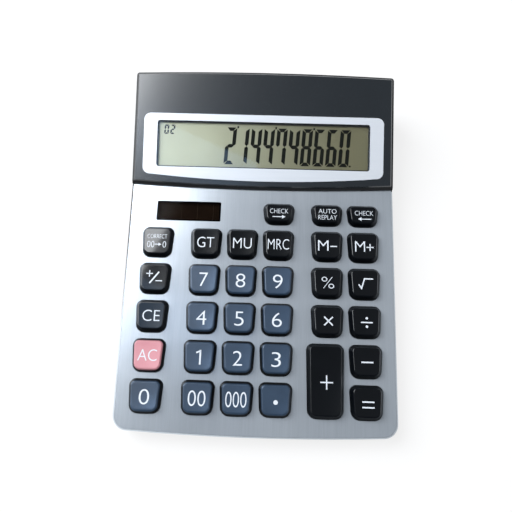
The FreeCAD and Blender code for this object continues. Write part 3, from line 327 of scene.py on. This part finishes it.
# Out from the middle and up from the board. A disc closes the dome at its roof and its ceiling.
DOME_PROFILE = [
    (DOME_FOOT, 0.0), (DOME_FOOT - 0.42, 1.0), (DOME_CROWN + 0.3, DOME_TALL - 0.5),
    (DOME_CROWN, DOME_TALL - 0.15), (DOME_CROWN - 0.2, DOME_TALL), (PILL, DOME_TALL),
    (PILL, DOME_TALL - DOME_WALL), (DOME_CROWN - DOME_WALL, DOME_TALL - DOME_WALL),
    (DOME_FOOT - DOME_WALL, 0.0),
]
ROOF, CEILING = 5, 6


def on_keypad(x, along, up):
    """A point in the face plate's frame, in millimetres, as a point of the row in metres."""
    return (KEYPAD_ORIGIN + Matrix.Rotation(KEYPAD_TILT, 3, "X") @ Vector((x, along, up))) / 1000


def from_row(point):
    """A point of the row, in metres, back in the face plate's frame."""
    return Matrix.Rotation(-KEYPAD_TILT, 3, "X") @ (point * 1000 - KEYPAD_ORIGIN)


KEYS = sorted(name for name in nodes if name.startswith("key_") and name != "key_mat")
key_middle = {}
for name in KEYS:
    points = [from_row(vertex.co) for vertex in nodes[name].data.vertices]
    xs, alongs = [p.x for p in points], [p.y for p in points]
    key_middle[name] = ((min(xs) + max(xs)) / 2, (min(alongs) + max(alongs)) / 2)


def add_piece(name, mesh, finish, body="case"):
    """Puts a new mesh in the scene with its material, riding on a body."""
    mesh.materials.clear()
    mesh.materials.append(finish.look)
    piece = bpy.data.objects.new(name, mesh)
    bpy.context.scene.collection.objects.link(piece)
    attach(piece, body)
    return piece


silicone = moulded("silicone_mat", colour(132, 136, 140), colour(158, 162, 166), roughness=0.55,
                   grain=0.8, depth=0.02, subsurface_weight=0.1)
form = bmesh.new()
form.from_mesh(nodes["key_mat"].data)
for x, along in key_middle.values():
    inside = set()
    for vertex in form.verts:
        point = from_row(vertex.co)
        if math.hypot(point.x - x, point.y - along) < DOME_FOOT + 0.1:
            inside.add(vertex)
    own = [face for face in form.faces if all(vertex in inside for vertex in face.verts)]
    bmesh.ops.delete(form, geom=own, context="FACES")
    hole = [edge for edge in form.edges
            if edge.is_boundary and all(v.is_valid and v in inside for v in edge.verts)]
    bmesh.ops.bridge_loops(form, edges=hole)
sheet_mesh = bpy.data.meshes.new("mat_sheet")
form.to_mesh(sheet_mesh)
form.free()
mat_sheet = add_piece("mat_sheet", sheet_mesh, silicone)
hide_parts("key_mat")
count = len(DOME_PROFILE)
for name, (x, along) in key_middle.items():
    points, faces = [], []
    for turn in range(DOME_SIDES):
        angle = 2 * math.pi * turn / DOME_SIDES
        points += [on_keypad(x + r * math.cos(angle), along + r * math.sin(angle), BOARD_TOP + h)
                   for r, h in DOME_PROFILE]
        here, there = turn * count, (turn + 1) % DOME_SIDES * count
        for i in range(count):
            j = (i + 1) % count
            if i != ROOF:
                faces.append((here + i, there + i, there + j, here + j))
    faces.append(tuple(turn * count + ROOF for turn in range(DOME_SIDES)))
    faces.append(tuple(turn * count + CEILING for turn in reversed(range(DOME_SIDES))))
    dome_mesh = bpy.data.meshes.new("dome_" + name.removeprefix("key_"))
    dome_mesh.from_pydata(points, [], faces)
    for face in dome_mesh.polygons:
        face.use_smooth = len(face.vertices) == 4
    dome = add_piece(dome_mesh.name, dome_mesh, silicone)
    "press_" + name
    on_keypad(x, along, BOARD_TOP)
    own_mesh(dome)


# Display stack behind the lens: a reflector of metallised film and two strips of zebra rubber
# that carry the board's tracks to the glass.

ZEBRA_PITCH = 0.4
dress(worked_metal("reflector_film", colour(190, 194, 188), colour(216, 220, 212), roughness=0.4,
                   across=2.0, along=2.0), "lcd_reflector")
zebra = Finish("zebra_rubber", roughness=0.6)
stripes = zebra.place()[0] % ZEBRA_PITCH < ZEBRA_PITCH / 2
zebra.feed("base_color", zebra.blend(stripes, colour(214, 168, 170), colour(26, 26, 28)))
dress(zebra, "lcd_connectors")


# Display glass: two sheets of glass with polarisers, olive grey at rest, with a faint speckle from
# the reflector behind.
# Its colour carries painted light and shade: paler towards the left, where the light comes from,
# and darker towards the right.

PAINTED_LIGHT_END, PAINTED_SHADE_END = -88.0, 50.0
display = Finish("display_glass", roughness=0.34, coat_weight=0.3, coat_roughness=0.08)
x, y, z = display.place()
point = display.vector(x, y, z)
speckle = display.noise(point, scale=6.0, rough=0.6)
wander = (display.noise(point, scale=0.04, detail=1.0) - 0.5) * 30.0
# painted light and shade: the glass's colour runs from pale on the left, where the light falls, to
# dark on the right
olive_painted_light = display.blend(display.ramp(x + wander, PAINTED_LIGHT_END, PAINTED_SHADE_END), colour(222, 228, 200),
                      colour(126, 123, 95))
display.feed("base_color", display.blend(speckle * 0.1, olive_painted_light, colour(120, 126, 104)))
display.bump(speckle, 0.004)
dress(display, "lcd_glass")


# Display digits: dark segments in the glass, slanted, with bevelled ends. The large row shows a
# ten-figure number with marks between the thousands, and a small pair counts the steps.

PANEL_TILT = math.radians(15)
PANEL_ORIGIN = Vector((0, 135.9, 2.7))
GLASS_TOP = -2.05
FILM_GAP, FILM_THICK = 0.005, 0.02
DIGIT_LEAN = math.tan(math.radians(3.8))
DIGIT_WIDE, DIGIT_TALL, DIGIT_PITCH, DIGIT_LOW, LAST_DIGIT = 6.0, 21.4, 7.26, 11.9, 42.8
SEGMENT_FIGURES = {
    "top": "23567890", "left_high": "4567890", "right_high": "12347890", "middle": "2345689",
    "left_low": "2680", "right_low": "134567890", "bottom": "2356890",
}


def on_panel(x, along, up):
    """A point in the display panel's frame, in millimetres, as a point of the row in metres."""
    lean = Matrix.Rotation(PANEL_TILT - KEYPAD_TILT, 3, "X")
    return on_keypad(*(PANEL_ORIGIN + lean @ Vector((x, along, up))))


def segment_outline(name, wide, tall, thick, gap):
    """The corners of one segment of a digit whose low left corner is the origin."""
    half = thick / 2
    if name in ("top", "middle", "bottom"):
        level = {"top": tall - half, "middle": tall / 2, "bottom": half}[name]
        low, high = half + gap, wide - half - gap
        rise = -half if name == "bottom" else half
        if name == "middle":
            return [(low, level), (low + half, level - half), (high - half, level - half),
                    (high, level), (high - half, level + half), (low + half, level + half)]
        return [(low - half * 0.6, level + rise), (low + half, level - rise),
                (high - half, level - rise), (high + half * 0.6, level + rise)]
    side = half if "left" in name else wide - half
    out = -half if "left" in name else half
    if "high" in name:
        low, high = tall / 2 + gap, tall - half - gap
        return [(side, low), (side + out, low + half), (side + out, high + half * 0.6),
                (side - out, high - half), (side - out, low + half)]
    low, high = half + gap, tall / 2 - gap
    return [(side, high), (side + out, high - half), (side + out, low - half * 0.6),
            (side - out, low + half), (side - out, high - half)]


def written(text, left, low, wide, tall, thick, pitch, gap):
    """The outlines of a row of digits, whose low left corner is given in the panel's frame."""
    outlines = []
    for index, figure in enumerate(text):
        for name, figures in SEGMENT_FIGURES.items():
            if figure in figures:
                corners = segment_outline(name, wide, tall, thick, gap)
                outlines.append([
                    (left + index * pitch + cx + cy * DIGIT_LEAN, low + cy) for cx, cy in corners
                ])
    return outlines


def block(x, y, wide, tall):
    """A small mark that leans as the digits do."""
    lean = tall * DIGIT_LEAN
    return [(x, y), (x + wide, y), (x + wide + lean, y + tall), (x + lean, y + tall)]


def flat(outlines):
    """Outlines, each a row of corners, as points and faces."""
    points, faces = [], []
    for corners in outlines:
        faces.append(tuple(range(len(points), len(points) + len(corners))))
        points += corners
    return points, faces


def film(name, points, faces, place, finish, body):
    """A flat figure as a closed sheet of ink, laid just over the surface that place gives."""
    upward = []
    for face in faces:
        ring = [points[corner] for corner in face]
        area = sum(a[0] * b[1] - b[0] * a[1] for a, b in zip(ring, ring[1:] + ring[:1]))
        upward.append(face if area > 0 else face[::-1])
    count = len(points)
    runs = [run for face in upward for run in zip(face, face[1:] + face[:1])]
    shared = set(runs)
    sides = [(a, b, b + count, a + count) for a, b in runs if (b, a) not in shared]
    tops = [tuple(corner + count for corner in face) for face in upward]
    mesh = bpy.data.meshes.new(name)
    mesh.from_pydata(
        [place(x, y, FILM_GAP + lift) for lift in (0.0, FILM_THICK) for x, y in points], [],
        tops + [face[::-1] for face in upward] + sides,
    )
    return add_piece(name, mesh, finish, body)


def in_glass(x, along, up):
    """A point over the display glass."""
    return on_panel(x, along, GLASS_TOP + up)


ink = Finish("display_segments", roughness=0.5, specular_ior_level=0.1)
unevenness = ink.noise(ink.vector(*ink.place()), scale=3.0)
ink.feed("base_color", ink.blend(unevenness, colour(4, 6, 3), colour(12, 16, 8)))
number = "2144748660"
first = LAST_DIGIT - (len(number) - 1) * DIGIT_PITCH
row = written(number, first, DIGIT_LOW, DIGIT_WIDE, DIGIT_TALL, thick=2.1, pitch=DIGIT_PITCH,
              gap=0.03)
for index in (0, 3, 6):
    row.append(block(first + index * DIGIT_PITCH + 7.4, DIGIT_LOW + DIGIT_TALL - 0.5,
                     wide=1.0, tall=1.3))
row.append(block(LAST_DIGIT + 6.3, DIGIT_LOW, wide=1.1, tall=0.9))
steps = written("02", left=-57.2, low=28.6, wide=2.6, tall=5.4, thick=0.85, pitch=3.5, gap=0.1)
for name, outlines in (("display_number", row), ("display_counter", steps)):
    film(name, *flat(outlines), in_glass, ink, "case")


# Solar cell: amorphous silicon on glass, in four bands, almost black with a brown cast. It lies
# under a clear acrylic window with a printed black border, which is let into the face plate.

CELL_LEFT, BAND_WIDE, SEAM_AT, SEAM_WIDE = -59.0, 9.05, 4.5, 0.24
BORDER_WIDE, BORDER_SOFT = 0.7, 0.3
cell = Finish("solar_cell", roughness=0.12, specular_ior_level=0.02)
x, y, z = cell.place()
seams = abs((x - CELL_LEFT) % BAND_WIDE - SEAM_AT) < SEAM_WIDE / 2
tone = cell.noise(cell.vector(x, y, z), scale=0.15, detail=1.0)
brown = cell.blend(tone, colour(34, 24, 16), colour(52, 37, 25))
cell.feed("base_color", cell.blend(seams, brown, colour(70, 58, 50)))
dress(cell, "solar_cell")
pane = Finish("solar_pane", specular_ior_level=0.04)
x, y, z = pane.place()
(left, front, _), (right, rear, _) = [[side * 1000 for side in end]
                                      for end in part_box("solar_window")]
beside = abs(x - (left + right) / 2) - (right - left) / 2
beyond = abs(y - (front + rear) / 2) - (rear - front) / 2
border = pane.ramp(beside.at_least(beyond), -BORDER_WIDE - BORDER_SOFT, -BORDER_WIDE)
pane.feed("base_color", pane.blend(border, colour(14, 10, 8), colour(4, 4, 5)))
pane.feed("alpha", border * 0.55 + 0.45)
pane.feed("roughness", pane.noise(pane.vector(x, y, z), scale=0.5) * 0.04 + 0.02)
dress(pane, "solar_window")


# Upper case: the shell round the keypad and the housing behind it, moulded in the same plastic as
# the tray. Its thin rim round the plate is coloured silver but for the left side: a painted
# highlight for the bright edge it shows where it catches the light, while the left keeps its
# black.

RIM_LOW, RIM_HIGH = -0.3, 0.25
HOUSING_FRONT, LEFT_RIM = 34.5, -73.2


def over_plate(y, z):
    """The height over the face plate of a surface point in the row frame, in millimetres."""
    return ((z - KEYPAD_ORIGIN.z) * math.cos(KEYPAD_TILT)
            - (y - KEYPAD_ORIGIN.y) * math.sin(KEYPAD_TILT))


upper = black_abs("upper_case_plastic")
x, y, z = upper.place()
up = over_plate(y, z)
# painted highlight: the rim's top is coloured silver, except on the left side, to stand for the
# light its edge catches
painted_rim_highlight = (up > RIM_LOW) * (up < RIM_HIGH) * (y < HOUSING_FRONT) * (x > LEFT_RIM)
bare = Field(upper.inlet("base_color").links[0].from_socket)
upper.feed("base_color", upper.blend(painted_rim_highlight, bare, colour(186, 192, 198)))
upper.feed("metallic", painted_rim_highlight * 0.4)
dress(upper, "upper_case")


# Face plate: a sheet of aluminium brushed from front to rear, anodised clear, pierced for the
# keys and glued into its recess.

plate = Finish("brushed_plate", metallic=0.42)
x, y, z = plate.place()
fine = plate.noise(plate.vector(x * 9.0, y * 0.05, z * 0.05), detail=4.0, rough=0.7)
broad = plate.noise(plate.vector(x * 0.35, y * 0.012, 0.0), detail=3.0, rough=0.6)
cloud = plate.noise(plate.vector(x, y, z), scale=0.02)
tone = plate.ramp(fine * 0.5 + broad * 0.15 + cloud * 0.35, 0.3, 0.7)
plate.feed("base_color", plate.blend(tone, colour(161, 168, 176), colour(181, 188, 196)))
plate.feed("roughness", fine * 0.08 + broad * 0.03 + 0.18)
plate.bump(fine, 0.005)
dress(plate, "face_plate")


# Display panel: a thick sheet of acrylic, dark grey from behind, with a polished face and a
# bevelled edge that catches the light. It is glued to the housing.

panel = Finish("panel_acrylic", coat_weight=1.0, coat_roughness=0.16)
point = panel.vector(*panel.place())
depths = panel.noise(point, scale=0.03)
panel.feed("base_color", panel.blend(depths, colour(26, 31, 36), colour(34, 39, 44)))
panel.feed("roughness", panel.noise(point, scale=1.2, detail=4.0, rough=0.7) * 0.05 + 0.24)
dress(panel, "display_panel")


# Display frame: a thin bright surround in satin aluminium with rounded corners and a bowed lower
# edge, brushed from side to side.

surround = Finish("satin_frame", metallic=0.25)
x, y, z = surround.place()
brush = surround.noise(surround.vector(x * 0.06, y * 7.0, z * 7.0), detail=4.0, rough=0.7)
surround.feed("base_color", surround.blend(brush, colour(208, 213, 221), colour(226, 230, 236)))
surround.feed("roughness", brush * 0.14 + 0.3)
surround.bump(brush, 0.004)
dress(surround, "display_frame")


# Display lens: a clear acrylic window, flush with the panel and polished on both faces. It
# mirrors more the flatter it is seen, and a few smears stay on it.


def overlaid(finish, share, below, above):
    """Shows the shader below where the share is 0 and the one above where it is 1."""
    mixed = finish.node("MixShader", {}, {0: share, 1: below, 2: above})
    plug(finish.nodes["Material Output"].inputs["Surface"], mixed)


lens = Finish("clear_lens", base_color=(1.0, 1.0, 1.0, 1.0), metallic=1.0, roughness=0.04)
smears = lens.noise(lens.vector(*lens.place()), scale=0.12, detail=3.0)
mirror = lens.node("Fresnel", {}, {"IOR": 1.49})
overlaid(lens, mirror * 0.5 + smears * 0.02, lens.node("BsdfTransparent"),
         Field(lens.shader.outputs[0]))
dress(lens, "display_lens")


# Keys: 32 caps of satin plastic, slate blue for the figures, pink for all clear and black for the
# rest, with painted shade, near black, on the lower part of their walls. Each face is hollowed a
# little for the fingertip, with a rounded rim.

KEY_TOP, KEY_FLANGE, KEY_BOW = 3.3, 0.8, 0.15
KEY_SIZES = {"large": (17.0, 17.1), "small": (17.0, 12.3), "tall": (19.3, 37.7)}
PAINTED_SHADE_TOP, CAP_COLOUR_FROM = 2.0, 2.8
FACE_SIDE, FACE_REAR, FACE_FRONT = 1.6, 1.2, 2.0
FACE_CORNER, FACE_FLARE, FACE_ENDS, RIM_WIDE = 2.8, 0.55, 8, 0.8
HOLLOW, ROUNDING = 0.008, 0.12
FIGURE_KEYS = ["key_" + figure for figure in "0 1 2 3 4 5 6 7 8 9 00 000 point".split()]
SMALL_KEYS = ["key_check_forward", "key_auto_replay", "key_check_back"]
BLACKS = colour(5, 8, 12), colour(10, 13, 18)


def key_finish(name, kind, low, high, gloss, **constants):
    """A cap: its colour ends on the walls, over painted shade near black on their lower part, and
    only its face is glossy.
    """
    finish = Finish(name, specular_ior_level=0.1, **constants)
    wide, deep = KEY_SIZES[kind]
    x, y, z = finish.place()
    up = over_plate(y, z)
    point = finish.vector(x, y, z)
    above_painted_shade = finish.ramp(up, PAINTED_SHADE_TOP, CAP_COLOUR_FROM)
    tone = finish.blend(finish.noise(point, scale=0.12), low, high)
    # painted shade: the lower walls are coloured near black, standing for the shadow in the gap
    # round the key
    finish.feed("base_color", finish.blend(above_painted_shade, colour(4, 6, 9), tone))

    # How far the point lies from the key's middle, to the right and to the rear. Generated runs
    # from 0 to 1 along the key's level box, so the tilt and the bowed front are taken out again.
    across, along, _ = finish.split(finish.node("TexCoord", output="Generated"))
    lean, fall = math.cos(KEYPAD_TILT), math.sin(KEYPAD_TILT)
    aside = (across - 0.5) * (wide + 2 * KEY_FLANGE)
    ahead = (along - 0.5) * ((deep + 2 * KEY_FLANGE) * lean + fall) + KEY_BOW + up * fall

    # How far it lies outside the face, which is a round-cornered shape that widens to the rear.
    rear, front = deep / 2 - FACE_REAR, FACE_FRONT - deep / 2
    half = ahead * (FACE_FLARE / (deep - FACE_ENDS)) + (wide / 2 - FACE_SIDE)
    bend_x = (abs(aside) - half + FACE_CORNER).at_least(0.0)
    bend_y = (abs(ahead - (rear + front) / 2) - ((rear - front) / 2 - FACE_CORNER)).at_least(0.0)
    edge = (bend_x * bend_x + bend_y * bend_y) ** 0.5 - FACE_CORNER
    face = (1 - finish.ramp(edge, -0.25, 0.2)) * (up > KEY_TOP - 0.4)
    finish.feed("coat_weight", face * gloss)

    grain = finish.noise(point, scale=5.0, rough=0.6)
    finish.feed("roughness", grain * 0.06 + 0.26)
    rim = (edge + RIM_WIDE).at_least(0.0)
    height = (aside * aside + ahead * ahead) * HOLLOW - rim * rim * ROUNDING
    finish.bump(height * (up > KEY_TOP - 0.1) + grain * 0.004, 1.0)
    return finish


dress(key_finish("slate_keys", "large", colour(50, 66, 85), colour(62, 80, 102), gloss=0.8,
                 metallic=0.25, coat_roughness=0.3), *FIGURE_KEYS)
dress(key_finish("pink_key", "large", colour(198, 130, 139), colour(212, 154, 161), gloss=0.4,
                 coat_roughness=0.3), "key_all_clear")
dress(key_finish("black_small_keys", "small", *BLACKS, gloss=0.8, coat_roughness=0.06),
      *SMALL_KEYS)
dress(key_finish("black_tall_key", "tall", *BLACKS, gloss=0.8, coat_roughness=0.06), "key_plus")
dress(key_finish("black_keys", "large", *BLACKS, gloss=1.0, coat_roughness=0.06), *[
    name for name in KEYS if name not in FIGURE_KEYS + SMALL_KEYS + ["key_all_clear", "key_plus"]
])


# Key legends: white figures, signs and words, pad-printed on the caps. The ink stands on the
# face as a film a few hundredths of a millimetre thick, a little thinner in places.

DOT_SIDES = 28
HEAD_OVERLAP, HEAD_SPREAD = 0.8, 0.55


def lettering(text, tall, wide, right=0.0, up=0.0, thinner=0.011):
    """A line of capitals or figures as points and faces, in millimetres from the key's middle.

    Thinner slims the strokes by a share of the type size.
    """
    curve = bpy.data.curves.new("text", "FONT")
    curve.body, curve.offset = text, -thinner
    carrier = bpy.data.objects.new("text", curve)
    bpy.context.scene.collection.objects.link(carrier)
    graph = bpy.context.evaluated_depsgraph_get()
    mesh = bpy.data.meshes.new_from_object(carrier.evaluated_get(graph))
    bpy.data.objects.remove(carrier)
    xs = [v.co.x for v in mesh.vertices]
    ys = [v.co.y for v in mesh.vertices]
    upright = tall / (max(ys) - min(ys))
    sideways = wide / (max(xs) - min(xs))
    points = [
        (right + (v.co.x - (min(xs) + max(xs)) / 2) * sideways,
         up + (v.co.y - (min(ys) + max(ys)) / 2) * upright) for v in mesh.vertices
    ]
    return points, [tuple(face.vertices) for face in mesh.polygons]


def stroke(thick, *stops):
    """A line of one thickness through some points, mitred at its bends."""
    runs = [(Vector(after) - Vector(before)).normalized()
            for before, after in zip(stops, stops[1:])]
    normals = [Vector((-run.y, run.x)) for run in runs]
    points = []
    for (px, py), before, after in zip(stops, normals[:1] + normals, normals + normals[-1:]):
        mitre = (before + after).normalized()
        mitre *= thick / 2 / mitre.dot(before)
        points += [(px + mitre.x, py + mitre.y), (px - mitre.x, py - mitre.y)]
    faces = [(2 * i + 1, 2 * i + 3, 2 * i + 2, 2 * i) for i in range(len(runs))]
    return points, faces


def disc(across, right, up):
    """A round dot."""
    turns = [2 * math.pi * i / DOT_SIDES for i in range(DOT_SIDES)]
    points = [(right + across / 2 * math.cos(t), up + across / 2 * math.sin(t)) for t in turns]
    return points, [tuple(range(DOT_SIDES))]


def arrow(tail, tip, up, thick, head):
    """A level arrow from its tail to its tip."""
    side = 1 if tip > tail else -1
    points, faces = stroke(thick, (tail, up), (tip - side * head * HEAD_OVERLAP, up))
    start = len(points)
    points += [(tip - side * head, up + head * HEAD_SPREAD),
               (tip - side * head, up - head * HEAD_SPREAD), (tip, up)]
    faces.append((start, start + 1, start + 2))
    return points, faces


def printed(key, *marks):
    """Lays marks on a key's face as one thin film of ink that rides on the key."""
    x0, along0 = key_middle[key]
    points, faces = [], []
    for mark_points, mark_faces in marks:
        faces += [tuple(len(points) + corner for corner in face) for face in mark_faces]
        points += mark_points

    def on_face(x, along, up):
        return on_keypad(x0 + x, along0 + along, KEY_TOP + up)

    film("legend_" + key.removeprefix("key_"), points, faces, on_face, white, key)


white = Finish("white_print", roughness=0.5)
thin_spots = white.noise(white.vector(*white.place()), scale=2.5, detail=3.0)
white.feed("base_color", white.blend(thin_spots, colour(208, 214, 222), colour(226, 231, 238)))
for figure, wide in zip("023456789", (5.3, 4.9, 4.9, 5.4, 4.9, 5.2, 4.7, 5.1, 5.2)):
    printed("key_" + figure, lettering(figure, 7.5, wide, up=-0.3))
printed("key_1", stroke(0.9, (0.6, -4.05), (0.6, 3.45)), stroke(0.8, (-1.5, 2.0), (0.75, 3.05)))
printed("key_00", lettering("00", 7.6, 9.0, up=-0.25))
printed("key_000", lettering("000", 7.6, 10.8, up=-0.25))
printed("key_point", disc(2.3, 0.2, -1.05))
printed("key_grand_total", lettering("GT", 5.9, 9.3))
printed("key_mark_up", lettering("MU", 5.9, 10.2, 0.2))
printed("key_memory_recall", lettering("MRC", 5.9, 11.7))
printed("key_memory_minus", lettering("M", 5.9, 5.7, -2.3), stroke(0.6, (1.5, -0.4), (5.2, -0.4)))
printed("key_memory_plus", lettering("M", 5.9, 5.5, -2.2), stroke(0.6, (1.3, -0.4), (5.2, -0.4)),
        stroke(0.6, (3.25, -2.35), (3.25, 1.55)))
printed("key_clear_entry", lettering("CE", 5.9, 9.2, 0.2))
printed("key_all_clear", lettering("AC", 5.9, 10.0, -0.1))
printed("key_check_forward", lettering("CHECK", 2.7, 10.2, 0.0, 1.1),
        arrow(-3.7, 3.6, -2.25, 0.45, 1.9))
printed("key_check_back", lettering("CHECK", 2.7, 10.2, 0.4, 1.1),
        arrow(4.3, -3.0, -2.35, 0.45, 1.9))
printed("key_auto_replay", lettering("AUTO", 2.6, 10.0, 0.1, 1.7),
        lettering("REPLAY", 2.6, 10.3, 0.1, -1.9))
printed("key_correct", lettering("CORRECT", 2.4, 10.9, 0.0, 2.6),
        lettering("00", 3.6, 4.0, -3.3, -2.0),
        arrow(-0.9, 2.6, -2.0, 0.5, 1.6), lettering("0", 3.6, 1.9, 4.2, -2.0))
printed("key_sign", stroke(0.6, (-4.3, 2.1), (-0.7, 2.1)), stroke(0.6, (-2.5, 0.3), (-2.5, 3.9)),
        stroke(0.8, (-2.2, -3.2), (2.6, 3.2)), stroke(0.6, (1.0, -1.8), (4.5, -1.8)))
printed("key_percent", lettering("%", 6.3, 6.7, 0.1, -0.1, thinner=0.016))
printed("key_root", stroke(0.7, (-3.3, -0.6), (-1.9, -2.7), (-0.2, 2.6), (4.4, 2.6)))
printed("key_multiply", stroke(0.7, (-1.9, -2.4), (2.6, 2.1)),
        stroke(0.7, (-1.9, 2.1), (2.6, -2.4)))
printed("key_divide", stroke(0.65, (-2.6, -0.3), (3.6, -0.3)), disc(1.35, 0.5, 1.9),
        disc(1.35, 0.5, -2.5))
printed("key_minus", stroke(0.7, (-2.8, -0.3), (3.4, -0.3)))
printed("key_plus", stroke(0.65, (-2.9, -0.7), (3.7, -0.7)), stroke(0.65, (0.4, -4.2), (0.4, 2.9)))
printed("key_equals", stroke(0.7, (-2.8, 0.6), (3.4, 0.6)),
        stroke(0.7, (-2.8, -2.1), (3.4, -2.1)))


# Studio: a pale floor that keeps the calculator's shadow, a window to the left, a strip of blue
# sky above, a pale wall to the right, and a camera where the keys' corners in the photograph
# put it.

FLOOR_REACH, FLOOR_GLOW = 10, 0.8
WALL_LIGHT, ROOM_LIGHT, WALLS_END = 0.85, 0.13, 2.2
FOCAL, PICTURE = 500, 512
corners = [(-FLOOR_REACH, -FLOOR_REACH, 0), (FLOOR_REACH, -FLOOR_REACH, 0),
           (FLOOR_REACH, FLOOR_REACH, 0), (-FLOOR_REACH, FLOOR_REACH, 0)]
floor_mesh = bpy.data.meshes.new("floor")
floor_mesh.from_pydata(corners, [], [(0, 1, 2, 3)])
floor = bpy.data.objects.new("floor", floor_mesh)
bpy.context.scene.collection.objects.link(floor)
paper = Finish("pale_floor", roughness=0.9, base_color=(0.9, 0.9, 0.9, 1.0))
seen, mirrored, refracted = [paper.node("LightPath", output="Is %s Ray" % kind)
                             for kind in ("Camera", "Glossy", "Transmission")]
overlaid(paper, (seen + mirrored + refracted > 0.5) * FLOOR_GLOW,
         Field(paper.shader.outputs[0]), paper.node("Emission"))
floor_mesh.materials.append(paper.look)


def lamp(name, place, wide, deep, watts, target=(0, 0, 0), tint=(0.94, 0.97, 1.0)):
    """A soft oblong lamp that faces a point."""
    light = bpy.data.lights.new(name, "AREA")
    light.color = tint
    light.shape, light.size, light.size_y, light.energy = "RECTANGLE", wide, deep, watts
    made = bpy.data.objects.new(name, light)
    made.location = place
    made.rotation_euler = (Vector(target) - Vector(place)).to_track_quat("-Z", "Y").to_euler()
    bpy.context.scene.collection.objects.link(made)


lamp("window", (-0.76, 0.36, 1.0), wide=0.88, deep=1.06, watts=27.5)
lamp("sky", (-0.27, 0.05, 1.0), wide=0.12, deep=0.5, watts=0.25, target=(-0.15, 0, 0),
     tint=(0.4, 0.64, 1.0))
lamp("wall", (1.3, -0.2, 0.5), wide=1.4, deep=1.0, watts=8.0)
room = Finish("room", "Background", "worlds", color=(0.95, 0.98, 1.0, 1.0))
height = room.split(room.node("TexCoord", output="Generated"))[2]
walls = (1.0 - abs(height) * WALLS_END).at_least(0.0)
room.feed("strength", walls * WALL_LIGHT + ROOM_LIGHT)
bpy.context.scene.world = room.look

camera = bpy.data.cameras.new("camera")
camera.lens = camera.sensor_width * FOCAL / PICTURE
eye = bpy.data.objects.new("camera", camera)
bpy.context.scene.collection.objects.link(eye)
ahead = Vector((-0.01364, 0.29948, -0.95400)).normalized()
aside = ahead.cross(Vector((-0.0287, 0.95358, 0.29976))).normalized()
turn = Matrix((aside, aside.cross(ahead), -ahead)).transposed()
eye.matrix_world = Matrix.Translation((0.0016, -0.088127, 0.280805)) @ turn.to_4x4()
bpy.context.scene.camera = eye
bpy.context.scene.view_settings.view_transform = "Standard"
